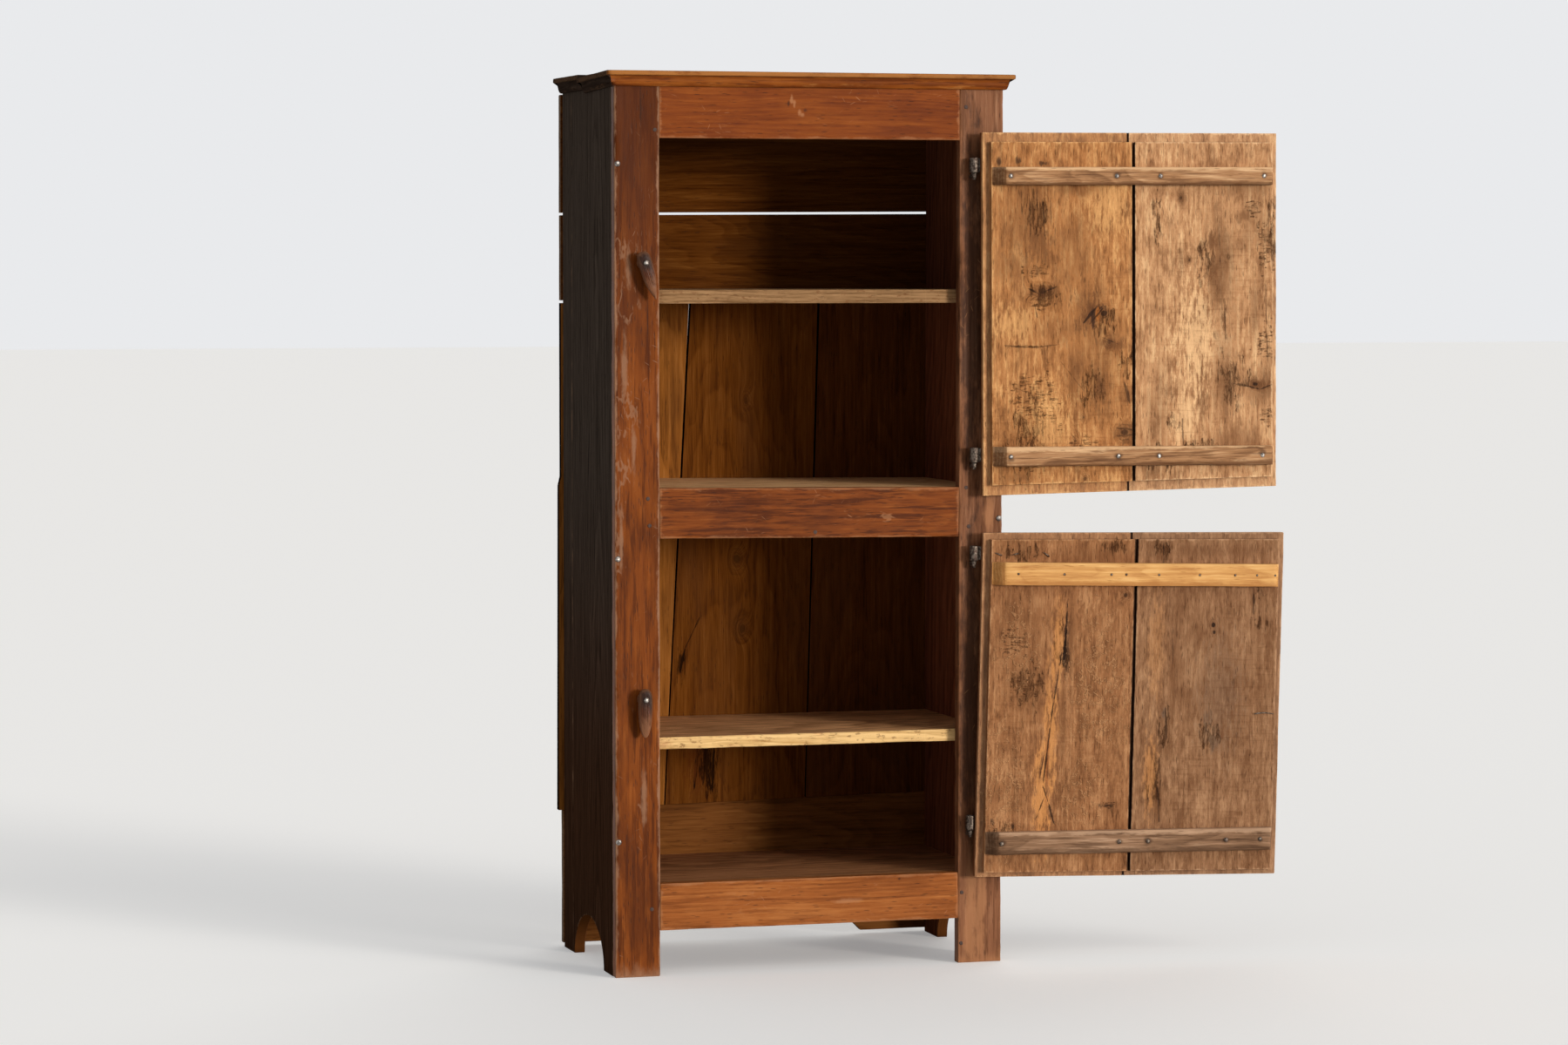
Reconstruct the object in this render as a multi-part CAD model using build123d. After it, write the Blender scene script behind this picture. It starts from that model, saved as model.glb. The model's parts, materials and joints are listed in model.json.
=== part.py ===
from build123d import *
import math
import os

os.makedirs("parts", exist_ok=True)

# A two-door oak plank cupboard. Millimetres. +Z is up, the front faces -Y, +X is to the right.
# The origin is the middle of the left front foot's underside, on the floor.
# The doors are drawn closed and then swung open to the pose that they are stored in.

# ---- driving sizes ---------------------------------------------------------------------------
carcass_width = 741.0
stile_width = 84.0
frame_thickness = 22.0
frame_height = 1634.0
side_thickness = 20.0
side_board_width = 308.0
side_strip_width = 72.0
top_thickness = 16.0

bottom_rail_low = 84.0
bottom_rail_height = 86.0
middle_rail_low = 799.0
middle_rail_height = 92.0
middle_rail_fall = 5.6
top_rail_height = 105.0
tenon_length = 55.0
tenon_thickness = 8.0
tenon_shoulder = 8.0
mortise_extra_depth = 1.0
peg_radius = 3.8
peg_proud = 0.3
plug_depth = 9.0
foot_wear = 6.0

arch_centre_depth = 184.0
arch_half_width = 115.0
arch_height = 87.0

cornice_height = 28.0
cornice_projection = 18.5
cornice_fillet = 8.5
cornice_foot = 3.0
cornice_swell = 5.3
cornice_swell_height = 10.5
cornice_waist = 12.5
return_front_length = 190.0
return_drop = 6.0

shelf_housing = 6.0
upper_shelf_below_top = 380.0
upper_shelf_thickness = 25.0
middle_shelf_thickness = 22.0
lower_shelf_top = 436.0
lower_shelf_thickness = 22.0
bottom_board_thickness = 20.0

back_thickness = 15.0
back_gap = 4.5
back_gap_above_shelf = 139.0
back_gap_rise = 4.5
back_top_margin = 14.0
back_board_lap = 22.0
back_plank_drop = 2.0
back_plank_low = 262.0
back_plank_rise = 14.0
back_foot_gap = 8.0
back_foot_width = 150.0
back_cutout_height = 60.0
back_seam_gap = 4.0
back_overhang = 4.0
back_nail_inset = 33.0
back_lower_gap = 0.4
left_seam_top = 249.0
left_seam_low = 197.0
right_seam_top = 505.0
right_seam_low = 478.5

lip_thickness = 12.0
raised_thickness = 11.0
door_stand_off = 0.7
hinge_overlap = 11.0
free_overlap = 9.0
edge_gap = 3.5
hinge_edge_gap = 2.5
upper_door_top_overlap = 14.0
upper_door_low_overlap = 15.5
lower_door_top_overlap = 8.5
lower_door_low_overlap = 6.0
plank_seam = 287.0
plank_lap = 7.0
plank_gap = 0.8
batten_thickness = 20.0
hinge_end_bevel = 20.0
free_end_bevel = 7.0
batten_end_margin = 1.5

hinge_offset = 23.0
hinge_stand_out = 15.0
eye_radius = 8.5
eye_height = 27.0
pintle_radius = 4.4
pintle_clearance = 0.1
pintle_stub = 13.0
shank_size = 7.0
shank_depth = 17.0
strap_thickness = 3.0
strap_length = 160.0
strap_root_height = 25.0
strap_tip_height = 14.0
strap_nail_distances = (40.0, 72.0, 133.0)

button_stand_off = 14.0
button_thickness = 11.0
button_boss_radius = 12.0
button_gap = 0.3
button_pin_radius = 2.4
washer_radius = 5.0
washer_thickness = 1.0
button_chamfer = 3.0
button_pin_depth = 18.0
upper_button_height = 1303.0
upper_button_inset = 31.0
upper_button_lean = 18.0
lower_button_height = 510.0
lower_button_inset = 32.0

joint_gap = 0.1
fit_gap = 0.05
running_gap = 0.3
nail_radius = 1.6
nail_head_radius = 4.2
nail_head_height = 1.8
nail_bite = 38.0
nail_tip_cover = 3.0
frame_nail_inset = 6.0
frame_nail_head = 5.5
frame_nail_rise = 2.6
frame_nail_above_bottom_rail = 79.0
frame_nail_below_top = 152.0
left_nail_below_middle_rail = 33.0
right_nail_above_middle_rail = 30.0
pin_head_radius = 2.2
pin_head_height = 0.8
clenched_tip_radius = 1.3
clenched_tip_length = 15.0
bent_nail_length = 39.0

# ---- planes that the pieces share ------------------------------------------------------------
left = -stile_width / 2
right = left + carcass_width
front = -frame_thickness / 2
frame_back = front + frame_thickness
opening_left = left + stile_width
opening_right = right - stile_width
opening_middle = (opening_left + opening_right) / 2
opening_width = opening_right - opening_left
inside_left = left + side_thickness
inside_right = right - side_thickness
side_seam = frame_back + side_board_width
side_back = side_seam + side_strip_width
back_face = side_back + back_thickness
bottom_rail_top = bottom_rail_low + bottom_rail_height
middle_rail_top = middle_rail_low + middle_rail_height
top_rail_low = frame_height - top_rail_height
upper_shelf_top = frame_height - upper_shelf_below_top
cabinet_top = frame_height + top_thickness
cornice_low = cabinet_top - cornice_height
lip_back = front - door_stand_off
lip_front = lip_back - lip_thickness
raised_back = lip_back + raised_thickness
batten_back = raised_back + batten_thickness
button_back = front - button_stand_off
button_front = button_back - button_thickness

nodes = {}


# ---- small makers ----------------------------------------------------------------------------
def block(x, y, z):
    """A box given by its (low, high) pairs."""
    size = [high - low for low, high in (x, y, z)]
    middle = [(high + low) / 2 for low, high in (x, y, z)]
    return Pos(*middle) * Box(*size)


def prism(points, y):
    """A slab between two depths, with an outline of (x, z) points."""
    outline = Polyline([(px, y[0], pz) for px, pz in points], close=True)
    return extrude(make_face(outline), amount=y[1] - y[0], dir=(0, 1, 0))


def rod(x, z, y, radius):
    """A round bar along Y."""
    return Pos(x, (y[0] + y[1]) / 2, z) * Rot(90, 0, 0) * Cylinder(radius, y[1] - y[0])


def dome(x, z, face, outward, radius, height):
    """A shallow domed head on a face that looks along +Y (outward 1) or -Y (outward -1)."""
    ball_radius = (radius * radius + height * height) / (2 * height)
    ball = Pos(x, face + outward * (height - ball_radius), z) * Sphere(ball_radius)
    reach = sorted((face, face + outward * (height + 1)))
    return ball & rod(x, z, reach, radius + 1)


def nail(x, z, face, outward, depth, radius=nail_radius, head=nail_head_radius, height=nail_head_height):
    """A wrought nail: a domed head on a face, and a shank that goes in from it."""
    shank = rod(x, z, sorted((face, face - outward * depth)), radius)
    return shank + dome(x, z, face, outward, head, height)


def nail_hole(x, z, face, outward, depth, radius=nail_radius):
    """The hole that a nail's shank has made."""
    return rod(x, z, sorted((face, face - outward * (depth + fit_gap))), radius + fit_gap)


def cut(shape, tools):
    """A shape less each tool in turn."""
    for tool in tools:
        shape = shape - tool
    return shape


def rail_line(x, height):
    """The height of a line that follows the sloping middle rail, given its height at mid-opening."""
    return height - middle_rail_fall * (x - opening_middle) / opening_width


# ---- front frame: stiles, rails and pegs -----------------------------------------------------
rail_spans = {
    "top_rail": (top_rail_low, frame_height),
    "middle_rail": (middle_rail_low, middle_rail_top),
    "bottom_rail": (bottom_rail_low, bottom_rail_top),
}

# pegs that pin the tenons: distance in from the opening's edge, height above the rail's underside
left_pegs = ((8.0, 15.0, "top_rail"), (22.0, 76.0, "middle_rail"), (19.0, 27.0, "middle_rail"),
             (16.0, 40.0, "bottom_rail"))
right_pegs = ((12.0, 61.0, "top_rail"), (19.0, 16.0, "middle_rail"), (7.0, 48.0, "bottom_rail"))


def tenon(x_edge, outward, low, high, gap):
    """One tenon, or with a gap the mortise that takes it."""
    reach = tenon_length + (mortise_extra_depth if gap else 0)
    x = sorted((x_edge, x_edge + outward * reach))
    y = (-tenon_thickness / 2 - gap, tenon_thickness / 2 + gap)
    return block(x, y, (low + tenon_shoulder - gap, high - tenon_shoulder + gap))


def rail_ends(name, edge):
    """The underside and top of a rail where it meets a stile."""
    low, high = rail_spans[name]
    shift = rail_line(edge, 0.0) if name == "middle_rail" else 0.0
    return low + shift, high + shift


def make_rail(name):
    low_left, high_left = rail_ends(name, opening_left)
    low_right, high_right = rail_ends(name, opening_right)
    outline = [
        (opening_left, low_left),
        (opening_right, low_right),
        (opening_right, high_right),
        (opening_left, high_left),
    ]
    rail = prism(outline, (front, frame_back))
    rail += tenon(opening_left, -1, low_left, high_left, 0.0)
    return rail + tenon(opening_right, 1, low_right, high_right, 0.0)


def peg_places():
    """The (x, z) of each tenon peg."""
    places = [(opening_left - inset, rail_spans[rail][0] + up) for inset, up, rail in left_pegs]
    return places + [(opening_right + inset, rail_spans[rail][0] + up) for inset, up, rail in right_pegs]


peg_holes = [rod(x, z, (front, frame_back), peg_radius + fit_gap) for x, z in peg_places()]
pegs = [rod(x, z, (front - peg_proud, frame_back), peg_radius) for x, z in peg_places()]

# blind plugs in old holes: a knot plug low on the middle rail, and two in the right stile
plug_places = (
    (opening_left + 295.0, middle_rail_low + 10.0),
    (opening_right + 14.0, middle_rail_low + 88.0),
    (opening_right + 6.0, bottom_rail_low - 47.0),
)
plug_holes = [rod(x, z, (front, front + plug_depth), peg_radius + fit_gap) for x, z in plug_places]
plugs = [rod(x, z, (front - peg_proud, front + plug_depth - fit_gap), peg_radius) for x, z in plug_places]

for rail_name in rail_spans:
    nodes[rail_name] = cut(make_rail(rail_name), peg_holes)
nodes["middle_rail"] = cut(nodes["middle_rail"], plug_holes[:1])
nodes["frame_pegs"] = Compound(children=pegs + plugs)


def make_stile(x, opening_edge, outward):
    stile = block(x, (front, frame_back), (0, frame_height))
    stile = fillet(stile.edges().filter_by(Axis.Y).sort_by(Axis.Z)[:2], foot_wear)
    for name in rail_spans:
        stile -= tenon(opening_edge, outward, *rail_ends(name, opening_edge), joint_gap)
    return cut(stile, peg_holes)


nodes["left_stile"] = make_stile((left, opening_left), opening_left, -1)
nodes["right_stile"] = cut(make_stile((opening_right, right), opening_right, 1), plug_holes[1:])

# dome-headed nails that hold the frame to the edges of the sides
frame_nail_depth = frame_thickness + nail_bite
frame_nail_low = bottom_rail_top + frame_nail_above_bottom_rail
frame_nail_high = frame_height - frame_nail_below_top
left_nails = [
    (left + frame_nail_inset, z)
    for z in (frame_nail_low, middle_rail_low - left_nail_below_middle_rail, frame_nail_high)
]
right_nails = [
    (right - frame_nail_inset, z)
    for z in (frame_nail_low, middle_rail_low + right_nail_above_middle_rail, frame_nail_high)
]
left_nail_holes = [nail_hole(x, z, front, -1, frame_nail_depth) for x, z in left_nails]
right_nail_holes = [nail_hole(x, z, front, -1, frame_nail_depth) for x, z in right_nails]
nodes["frame_nails"] = Compound(children=[
    nail(x, z, front, -1, frame_nail_depth, head=frame_nail_head, height=frame_nail_rise)
    for x, z in left_nails + right_nails
])
nodes["left_stile"] = cut(nodes["left_stile"], left_nail_holes)
nodes["right_stile"] = cut(nodes["right_stile"], right_nail_holes)

# ---- sides: a wide board with a cut arch for feet, and a narrow strip behind it ---------------
shelves = {
    "upper_shelf": (upper_shelf_top - upper_shelf_thickness, upper_shelf_top),
    "middle_shelf": (middle_rail_top - middle_shelf_thickness, middle_rail_top),
    "lower_shelf": (lower_shelf_top - lower_shelf_thickness, lower_shelf_top),
    "bottom_board": (bottom_rail_top - bottom_board_thickness, bottom_rail_top),
}


def shelf_slab(name, reach, gap):
    """A shelf that runs into its housings; with a gap, the housing itself."""
    low, high = shelves[name]
    x = (inside_left - reach, inside_right + reach)
    fall = middle_rail_fall if name == "middle_shelf" else 0.0
    rise = [-fall * (px - opening_middle) / opening_width for px in x]
    outline = [
        (x[0], low + rise[0] - gap),
        (x[1], low + rise[1] - gap),
        (x[1], high + rise[1] + gap),
        (x[0], high + rise[0] + gap),
    ]
    return prism(outline, (frame_back, side_back))


housings = [shelf_slab(name, shelf_housing + joint_gap, joint_gap) for name in shelves]
arch_middle = frame_back + arch_centre_depth
arch_tool = Pos(0, arch_middle, 0) * Rot(0, 90, 0) * extrude(
    Ellipse(arch_height, arch_half_width), amount=carcass_width, both=True
)


gap_left = upper_shelf_top + back_gap_above_shelf
gap_right = gap_left + back_gap_rise
back_top = frame_height - back_top_margin
back_board_low = upper_shelf_top - back_board_lap
back_plank_top = upper_shelf_top - upper_shelf_thickness - back_plank_drop
level_boards = ((back_foot_gap, back_plank_low), (back_board_low, gap_left), (gap_right + back_gap, back_top))
plank_nail_lines = (
    middle_rail_top - middle_shelf_thickness / 2,
    lower_shelf_top - lower_shelf_thickness / 2,
)
plank_nail_insets = (90.0, left_seam_top + 81.0, right_seam_low - 48.0, right_seam_top + 115.0)


def back_nail_places():
    """The (x, z) of each nail through the back boards: at the sides, and along two shelves."""
    places = []
    for x in (left + side_thickness / 2, right - side_thickness / 2):
        for low, high in level_boards:
            places += [(x, low + back_nail_inset), (x, high - back_nail_inset)]
    for inset in plank_nail_insets:
        places += [(left + inset, line) for line in plank_nail_lines]
    return places


def sunk_hole(x, z):
    """The hole of a nail that is driven in until its head is flush with the back."""
    dent = rod(x, z, (back_nail_seat, back_face), nail_head_radius + fit_gap)
    return dent + nail_hole(x, z, back_nail_seat, 1, back_nail_depth)


back_nail_seat = back_face - nail_head_height
back_nail_depth = back_nail_seat - side_back + nail_bite
back_holes = [sunk_hole(x, z) for x, z in back_nail_places()]
nodes["back_nails"] = Compound(
    children=[nail(x, z, back_nail_seat, 1, back_nail_depth) for x, z in back_nail_places()]
)

for side, x in (("left", (left, inside_left)), ("right", (inside_right, right))):
    board = block(x, (frame_back, side_seam), (0, frame_height))
    strip = block(x, (side_seam, side_back), (0, frame_height))
    holes = left_nail_holes + right_nail_holes + back_holes
    near = [hole for hole in holes if x[0] < hole.center().X < x[1]]
    nodes[side + "_side_board"] = cut(board - arch_tool, housings + near)
    nodes[side + "_side_strip"] = cut(strip, housings + near)

for name in shelves:
    nodes[name] = cut(shelf_slab(name, shelf_housing, 0.0), back_holes)
nodes["top_board"] = block((left, right), (front, side_back), (frame_height, cabinet_top))


# ---- back: two boards across the top, three leaning planks, and a footed board below ----------
def back_slab(points):
    return cut(prism(points, (side_back, back_face)), back_holes)


over = back_overhang
nodes["back_top_board"] = back_slab([
    (left - over, gap_left + back_gap),
    (right + over, gap_right + back_gap),
    (right + over, back_top),
    (left - over, back_top),
])
nodes["back_second_board"] = back_slab([
    (left - over, back_board_low),
    (right + over, back_board_low),
    (right + over, gap_right),
    (left, gap_left),
])


def seam_x(top, low, z):
    """Where a leaning seam is at a height."""
    share = (back_plank_top - z) / (back_plank_top - back_plank_low)
    return left + top + (low - top) * share


def plank_low(x):
    """The planks' lower ends, which climb to the right."""
    return back_plank_low + back_plank_rise * (x - left) / carcass_width


def leaning_edge(top, low, offset):
    """The two ends of one leaning plank edge, top first."""
    x_top = seam_x(top, low, back_plank_top) + offset
    x_low = seam_x(top, low, back_plank_low) + offset
    return (x_top, back_plank_top), (x_low, plank_low(x_low))


half_gap = back_seam_gap / 2
# the left plank's outer edge steps out where the middle shelf is, and again leans out below it
left_edge = [
    (left - over, back_plank_top),
    (left - over, middle_rail_top + over),
    (left - over * 2, middle_rail_top),
    (left - over * 2.6, plank_low(left)),
]
edge_a = leaning_edge(left_seam_top, left_seam_low, -half_gap)
nodes["back_plank_left"] = back_slab([*left_edge, edge_a[1], edge_a[0]])
edge_b = leaning_edge(left_seam_top, left_seam_low, half_gap)
edge_c = leaning_edge(right_seam_top, right_seam_low, -half_gap)
nodes["back_plank_middle"] = back_slab([edge_b[0], edge_b[1], edge_c[1], edge_c[0]])
edge_d = leaning_edge(right_seam_top, right_seam_low, half_gap)
nodes["back_plank_right"] = back_slab([
    edge_d[0], edge_d[1], (right + over, plank_low(right)), (right + over, back_plank_top)
])

foot_in = back_foot_width + back_cutout_height - back_foot_gap
nodes["back_bottom_board"] = back_slab([
    (left - over / 2, back_foot_gap),
    (left + back_foot_width, back_foot_gap),
    (left + foot_in, back_cutout_height),
    (right - foot_in, back_cutout_height),
    (right - back_foot_width, back_foot_gap),
    (right, back_foot_gap),
    (right, plank_low(right) - back_lower_gap),
    (left - over / 2, plank_low(left) - back_lower_gap),
])


# ---- cornice: a moulded front length with mitred returns, the left one in two lengths ---------
def cornice_profile():
    """The moulding's section as (out, up) lines: foot, swelling curve, hollow, and square fillet."""
    top_step = cornice_height - cornice_fillet
    swell_end = Vector(cornice_foot + cornice_swell, cornice_swell_height)
    waist_end = Vector(cornice_waist, top_step)
    swell_middle = (cornice_foot + cornice_swell * 0.83, cornice_swell_height * 0.43)
    swell = ThreePointArc((cornice_foot, 0), swell_middle, swell_end)
    hollow = TangentArc(swell_end, waist_end, tangent=(0, 1))
    rest = Polyline([
        (cornice_waist, top_step),
        (cornice_projection, top_step),
        (cornice_projection, cornice_height),
        (0, cornice_height),
        (0, 0),
        (cornice_foot, 0),
    ])
    return make_face([*swell.edges(), *hollow.edges(), *rest.edges()])


def mitre_wedge(x_corner, outward):
    """All that lies on the side's part of the 45 degree mitre line at a front corner."""
    far = carcass_width
    points = [(x_corner, front), (x_corner + outward * far, front - far), (x_corner + outward * far, front)]
    outline = Polyline([(px, py, cornice_low - 1) for px, py in points], close=True)
    return extrude(make_face(outline), amount=cornice_height + 2, dir=(0, 0, 1))


side_plane = Plane(origin=(left, 0, cornice_low), x_dir=(-1, 0, 0), z_dir=(0, 1, 0))
front_plane = Plane(origin=(0, front, cornice_low), x_dir=(0, -1, 0), z_dir=(-1, 0, 0))
section = cornice_profile()
front_run = extrude(front_plane * section, amount=carcass_width * 2, both=True)
reach_front = block(
    (left - cornice_projection, right + cornice_projection),
    (front - cornice_projection, front),
    (cornice_low, cabinet_top),
)
front_run = front_run & reach_front
nodes["cornice_front"] = cut(front_run, [mitre_wedge(left, -1), mitre_wedge(right, 1)])


def left_return(start, end):
    run = extrude(side_plane * section, amount=side_back, both=True)
    return run & block((left - cornice_projection, left), (start, end), (cornice_low, cabinet_top))


corner_cut = mitre_wedge(left, -1)
return_seam = frame_back + return_front_length
front_of_corner = block(
    (left - cornice_projection - 1, left), (front - cornice_projection - 1, front),
    (cornice_low - 1, cabinet_top + 1)
) - corner_cut
front_return = left_return(front - cornice_projection, return_seam) - front_of_corner
drop_angle = math.degrees(math.atan2(return_drop, return_seam - front))
hang_axis = Axis((left, front - cornice_projection, cornice_low), (1, 0, 0))
nodes["cornice_left_front"] = front_return.rotate(hang_axis, -drop_angle)
nodes["cornice_left_rear"] = left_return(return_seam + 1.0, side_back)
right_return = left_return(front - cornice_projection, side_back) - front_of_corner
nodes["cornice_right"] = mirror(right_return, Plane.YZ.offset((left + right) / 2))


# ---- doors: two lapped planks, two battens, strap hinges --------------------------------------
class Door:
    """One lipped plank door, its hinge line and the pose it is left open in."""

    def __init__(self, lip, raised, knuckles, tilt, open_angle, hinge_shift):
        self.lip = lip
        self.raised = raised
        self.knuckles = knuckles
        self.tilt = tilt
        self.open_angle = open_angle
        self.middle = sum(knuckles) / 2
        self.hinge_x = opening_right + hinge_offset + hinge_shift
        slope = math.radians(tilt)
        self.direction = (math.sin(slope), 0, math.cos(slope))
        self.axis = Axis((self.hinge_x, front - hinge_stand_out, self.middle), self.direction)

    def axis_x(self, z):
        return self.hinge_x + (z - self.middle) * math.tan(math.radians(self.tilt))

    def along_axis(self, z):
        """A place on the hinge line, with its Z turned along that line."""
        return Pos(self.axis_x(z), front - hinge_stand_out, z) * Rot(0, self.tilt, 0)

    def swing(self, shape):
        """From closed to the pose it is stored in."""
        return shape.rotate(self.axis, self.open_angle)


def straight(height):
    return lambda x: height


def beside_rail(height):
    return lambda x: rail_line(x, height)


upper_door = Door(
    lip=(
        beside_rail(middle_rail_top - upper_door_low_overlap),
        straight(top_rail_low + upper_door_top_overlap),
    ),
    raised=(beside_rail(middle_rail_top + edge_gap), straight(top_rail_low - edge_gap)),
    knuckles=(middle_rail_top + 57.0, top_rail_low - 46.0),
    tilt=-0.16,
    open_angle=182.6,
    hinge_shift=0.2,
)
lower_door = Door(
    lip=(
        straight(bottom_rail_top - lower_door_low_overlap),
        beside_rail(middle_rail_low + lower_door_top_overlap),
    ),
    raised=(straight(bottom_rail_top + edge_gap), beside_rail(middle_rail_low - edge_gap)),
    knuckles=(bottom_rail_top + 94.0, middle_rail_low - 33.0),
    tilt=0.66,
    open_angle=178.8,
    hinge_shift=-1.8,
)

hinge_edge = opening_right + hinge_overlap
free_edge = opening_left - free_overlap
raised_hinge_edge = opening_right - hinge_edge_gap
raised_free_edge = opening_left + edge_gap
inner_seam = opening_left + plank_seam
outer_seam = inner_seam + plank_lap


def layer(x, edges, y):
    """One thickness of a plank, between two heights that may slope."""
    low, high = edges
    return prism([(x[0], low(x[0])), (x[1], low(x[1])), (x[1], high(x[1])), (x[0], high(x[0]))], y)


def hinge_plank(door):
    skin = layer((outer_seam + plank_gap / 2, hinge_edge), door.lip, (lip_front, lip_back))
    core = layer((inner_seam + plank_gap / 2, raised_hinge_edge), door.raised, (lip_back, raised_back))
    eyes = [door.along_axis(z) * Cylinder(eye_radius + running_gap, eye_height + 2) for z in door.knuckles]
    return cut(skin + core, eyes)


def free_plank(door):
    skin = layer((free_edge, outer_seam - plank_gap / 2), door.lip, (lip_front, lip_back))
    core = layer((raised_free_edge, inner_seam - plank_gap / 2), door.raised, (lip_back, raised_back))
    return skin + core


def batten(z, height, turn=0.0):
    """A batten across the inside of a door, with bevelled ends, turned a little about its middle."""
    x = (raised_free_edge + batten_end_margin, raised_hinge_edge - batten_end_margin)
    points = [
        (x[0], raised_back),
        (x[1], raised_back),
        (x[1] - hinge_end_bevel, batten_back),
        (x[0] + free_end_bevel, batten_back),
    ]
    outline = Polyline([(px, py, z - height / 2) for px, py in points], close=True)
    bar = extrude(make_face(outline), amount=height, dir=(0, 0, 1))
    return bar.rotate(Axis((opening_middle, 0, z), (0, 1, 0)), turn)


def strap(door, z):
    """A strap with its rolled eye, on the door's outer face."""
    x_root = door.axis_x(z)
    x_tip = x_root - strap_length
    half_root = strap_root_height / 2
    half_tip = strap_tip_height / 2
    plate = prism(
        [(x_tip, z - half_tip), (x_root, z - half_root), (x_root, z + half_root), (x_tip, z + half_tip)],
        (lip_front - strap_thickness, lip_front),
    )
    plate += rod(x_tip, z, (lip_front - strap_thickness, lip_front), half_tip)
    plate += door.along_axis(z) * Cylinder(eye_radius, eye_height)
    return plate - door.along_axis(z) * Cylinder(pintle_radius + pintle_clearance, eye_height * 2)


def pintle(door, z, gap=0.0):
    """A pin on a square shank driven into the stile; with a gap, the hole for its shank."""
    low = -eye_height / 2 - running_gap
    high = eye_height / 2 - 1
    place = door.along_axis(z)
    shank_middle = low - pintle_stub / 2
    half = shank_size / 2 + gap
    back_end = hinge_stand_out + shank_depth + gap
    shank = place * block((-half, half), (0, back_end), (shank_middle - half, shank_middle + half))
    if gap:
        return shank
    pin = place * Pos(0, 0, (low + high) / 2) * Cylinder(pintle_radius, high - low)
    stub = place * Pos(0, 0, shank_middle) * Cone(pintle_radius * 0.7, pintle_radius * 1.25, pintle_stub)
    return pin + stub + shank


def strap_nail_places(door):
    return [(door.axis_x(z) - away, z) for z in door.knuckles for away in strap_nail_distances]


# each batten: the height of its middle line, its width, and how far out of level it is, in degrees
batten_sets = {
    "upper": {"top": (top_rail_low - 66.5, 33.0, 0.0), "bottom": (middle_rail_top + 51.0, 36.0, -0.75)},
    "lower": {"top": (middle_rail_low - 68.5, 42.0, 0.0), "bottom": (bottom_rail_top + 61.5, 42.0, 0.5)},
}
# nails through the battens, as distances from the opening's left edge
batten_nails = {
    "upper_top": (30.0, 241.0, 329.0, 540.0),
    "upper_bottom": (33.0, 244.0, 326.0, 541.0),
    "lower_top": (18.0, 54.0, 97.5, 168.0, 248.5, 313.0, 342.0, 434.0, 523.5),
    "lower_bottom": (34.0, 102.0, 257.0, 314.0, 543.0),
}
batten_nail_depth = batten_thickness + raised_thickness + lip_thickness - nail_tip_cover
strap_nail_depth = strap_thickness + lip_thickness + raised_thickness - nail_tip_cover

for name, door in (("upper", upper_door), ("lower", lower_door)):
    planks = {"hinge_plank": hinge_plank(door), "free_plank": free_plank(door)}
    door_nails = []
    holes = []
    for place, (z, height, turn) in batten_sets[name].items():
        bar = batten(z, height, turn)
        small = name == "lower" and place == "top"
        for distance in batten_nails[name + "_" + place]:
            x = opening_left + distance
            nail_z = z - (x - opening_middle) * math.tan(math.radians(turn))
            holes.append(nail_hole(x, nail_z, batten_back, 1, batten_nail_depth))
            head = pin_head_radius if small else nail_head_radius
            rise = pin_head_height if small else nail_head_height
            door_nails.append(nail(x, nail_z, batten_back, 1, batten_nail_depth, head=head, height=rise))
        nodes[f"{name}_door_{place}_batten"] = door.swing(cut(bar, holes))
    strap_face = lip_front - strap_thickness
    strap_holes = [nail_hole(x, z, strap_face, -1, strap_nail_depth) for x, z in strap_nail_places(door)]
    strap_nails = [nail(x, z, strap_face, -1, strap_nail_depth) for x, z in strap_nail_places(door)]
    for z, place in zip(door.knuckles, ("bottom", "top")):
        nodes[f"{name}_door_{place}_strap"] = door.swing(cut(strap(door, z), strap_holes))
        nodes[f"{name}_door_{place}_pintle"] = pintle(door, z)
        nodes["right_stile"] -= pintle(door, z, fit_gap)
    for plank_name, plank in planks.items():
        nodes[f"{name}_door_{plank_name}"] = door.swing(cut(plank, holes + strap_holes))
    nodes[f"{name}_door_batten_nails"] = door.swing(Compound(children=door_nails))
    nodes[f"{name}_door_strap_nails"] = door.swing(Compound(children=strap_nails))

# clenched tips of the lower door's top strap nails, and a bent nail near its free edge
clenched_turns = (20.0, -12.0, 35.0)
clenched_y = raised_back + clenched_tip_radius
clenched = []
for away, turn in zip(strap_nail_distances, clenched_turns):
    z = lower_door.knuckles[1]
    place = Pos(lower_door.axis_x(z) - away, clenched_y, z) * Rot(0, 90 + turn, 0)
    clenched.append(place * Cylinder(clenched_tip_radius, clenched_tip_length))
bent_nail_x = raised_free_edge + 2.5 + bent_nail_length / 2
bent_nail_z = lower_button_height - 42.0
bent_nail = Cylinder(clenched_tip_radius, bent_nail_length)
clenched.append(Pos(bent_nail_x, clenched_y, bent_nail_z) * Rot(0, 90, 0) * bent_nail)
nodes["lower_door_bent_nails"] = lower_door.swing(Compound(children=clenched))


# ---- turn buttons on the left stile -----------------------------------------------------------
# outlines as (across, up) from the pivot, with the long arm hanging down
upper_button_outline = (
    (-7, 20), (6, 20), (12, 12), (13, 0), (12, -25), (7, -45), (0, -68), (-4, -62), (-11, -40),
    (-13, -10), (-12, 10)
)
lower_button_outline = (
    (-5, 19), (5, 19), (11, 12), (13, 0), (13, -25), (10, -50), (4, -67), (-4, -67), (-10, -50),
    (-13, -25), (-13, 0), (-11, 12)
)


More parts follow.
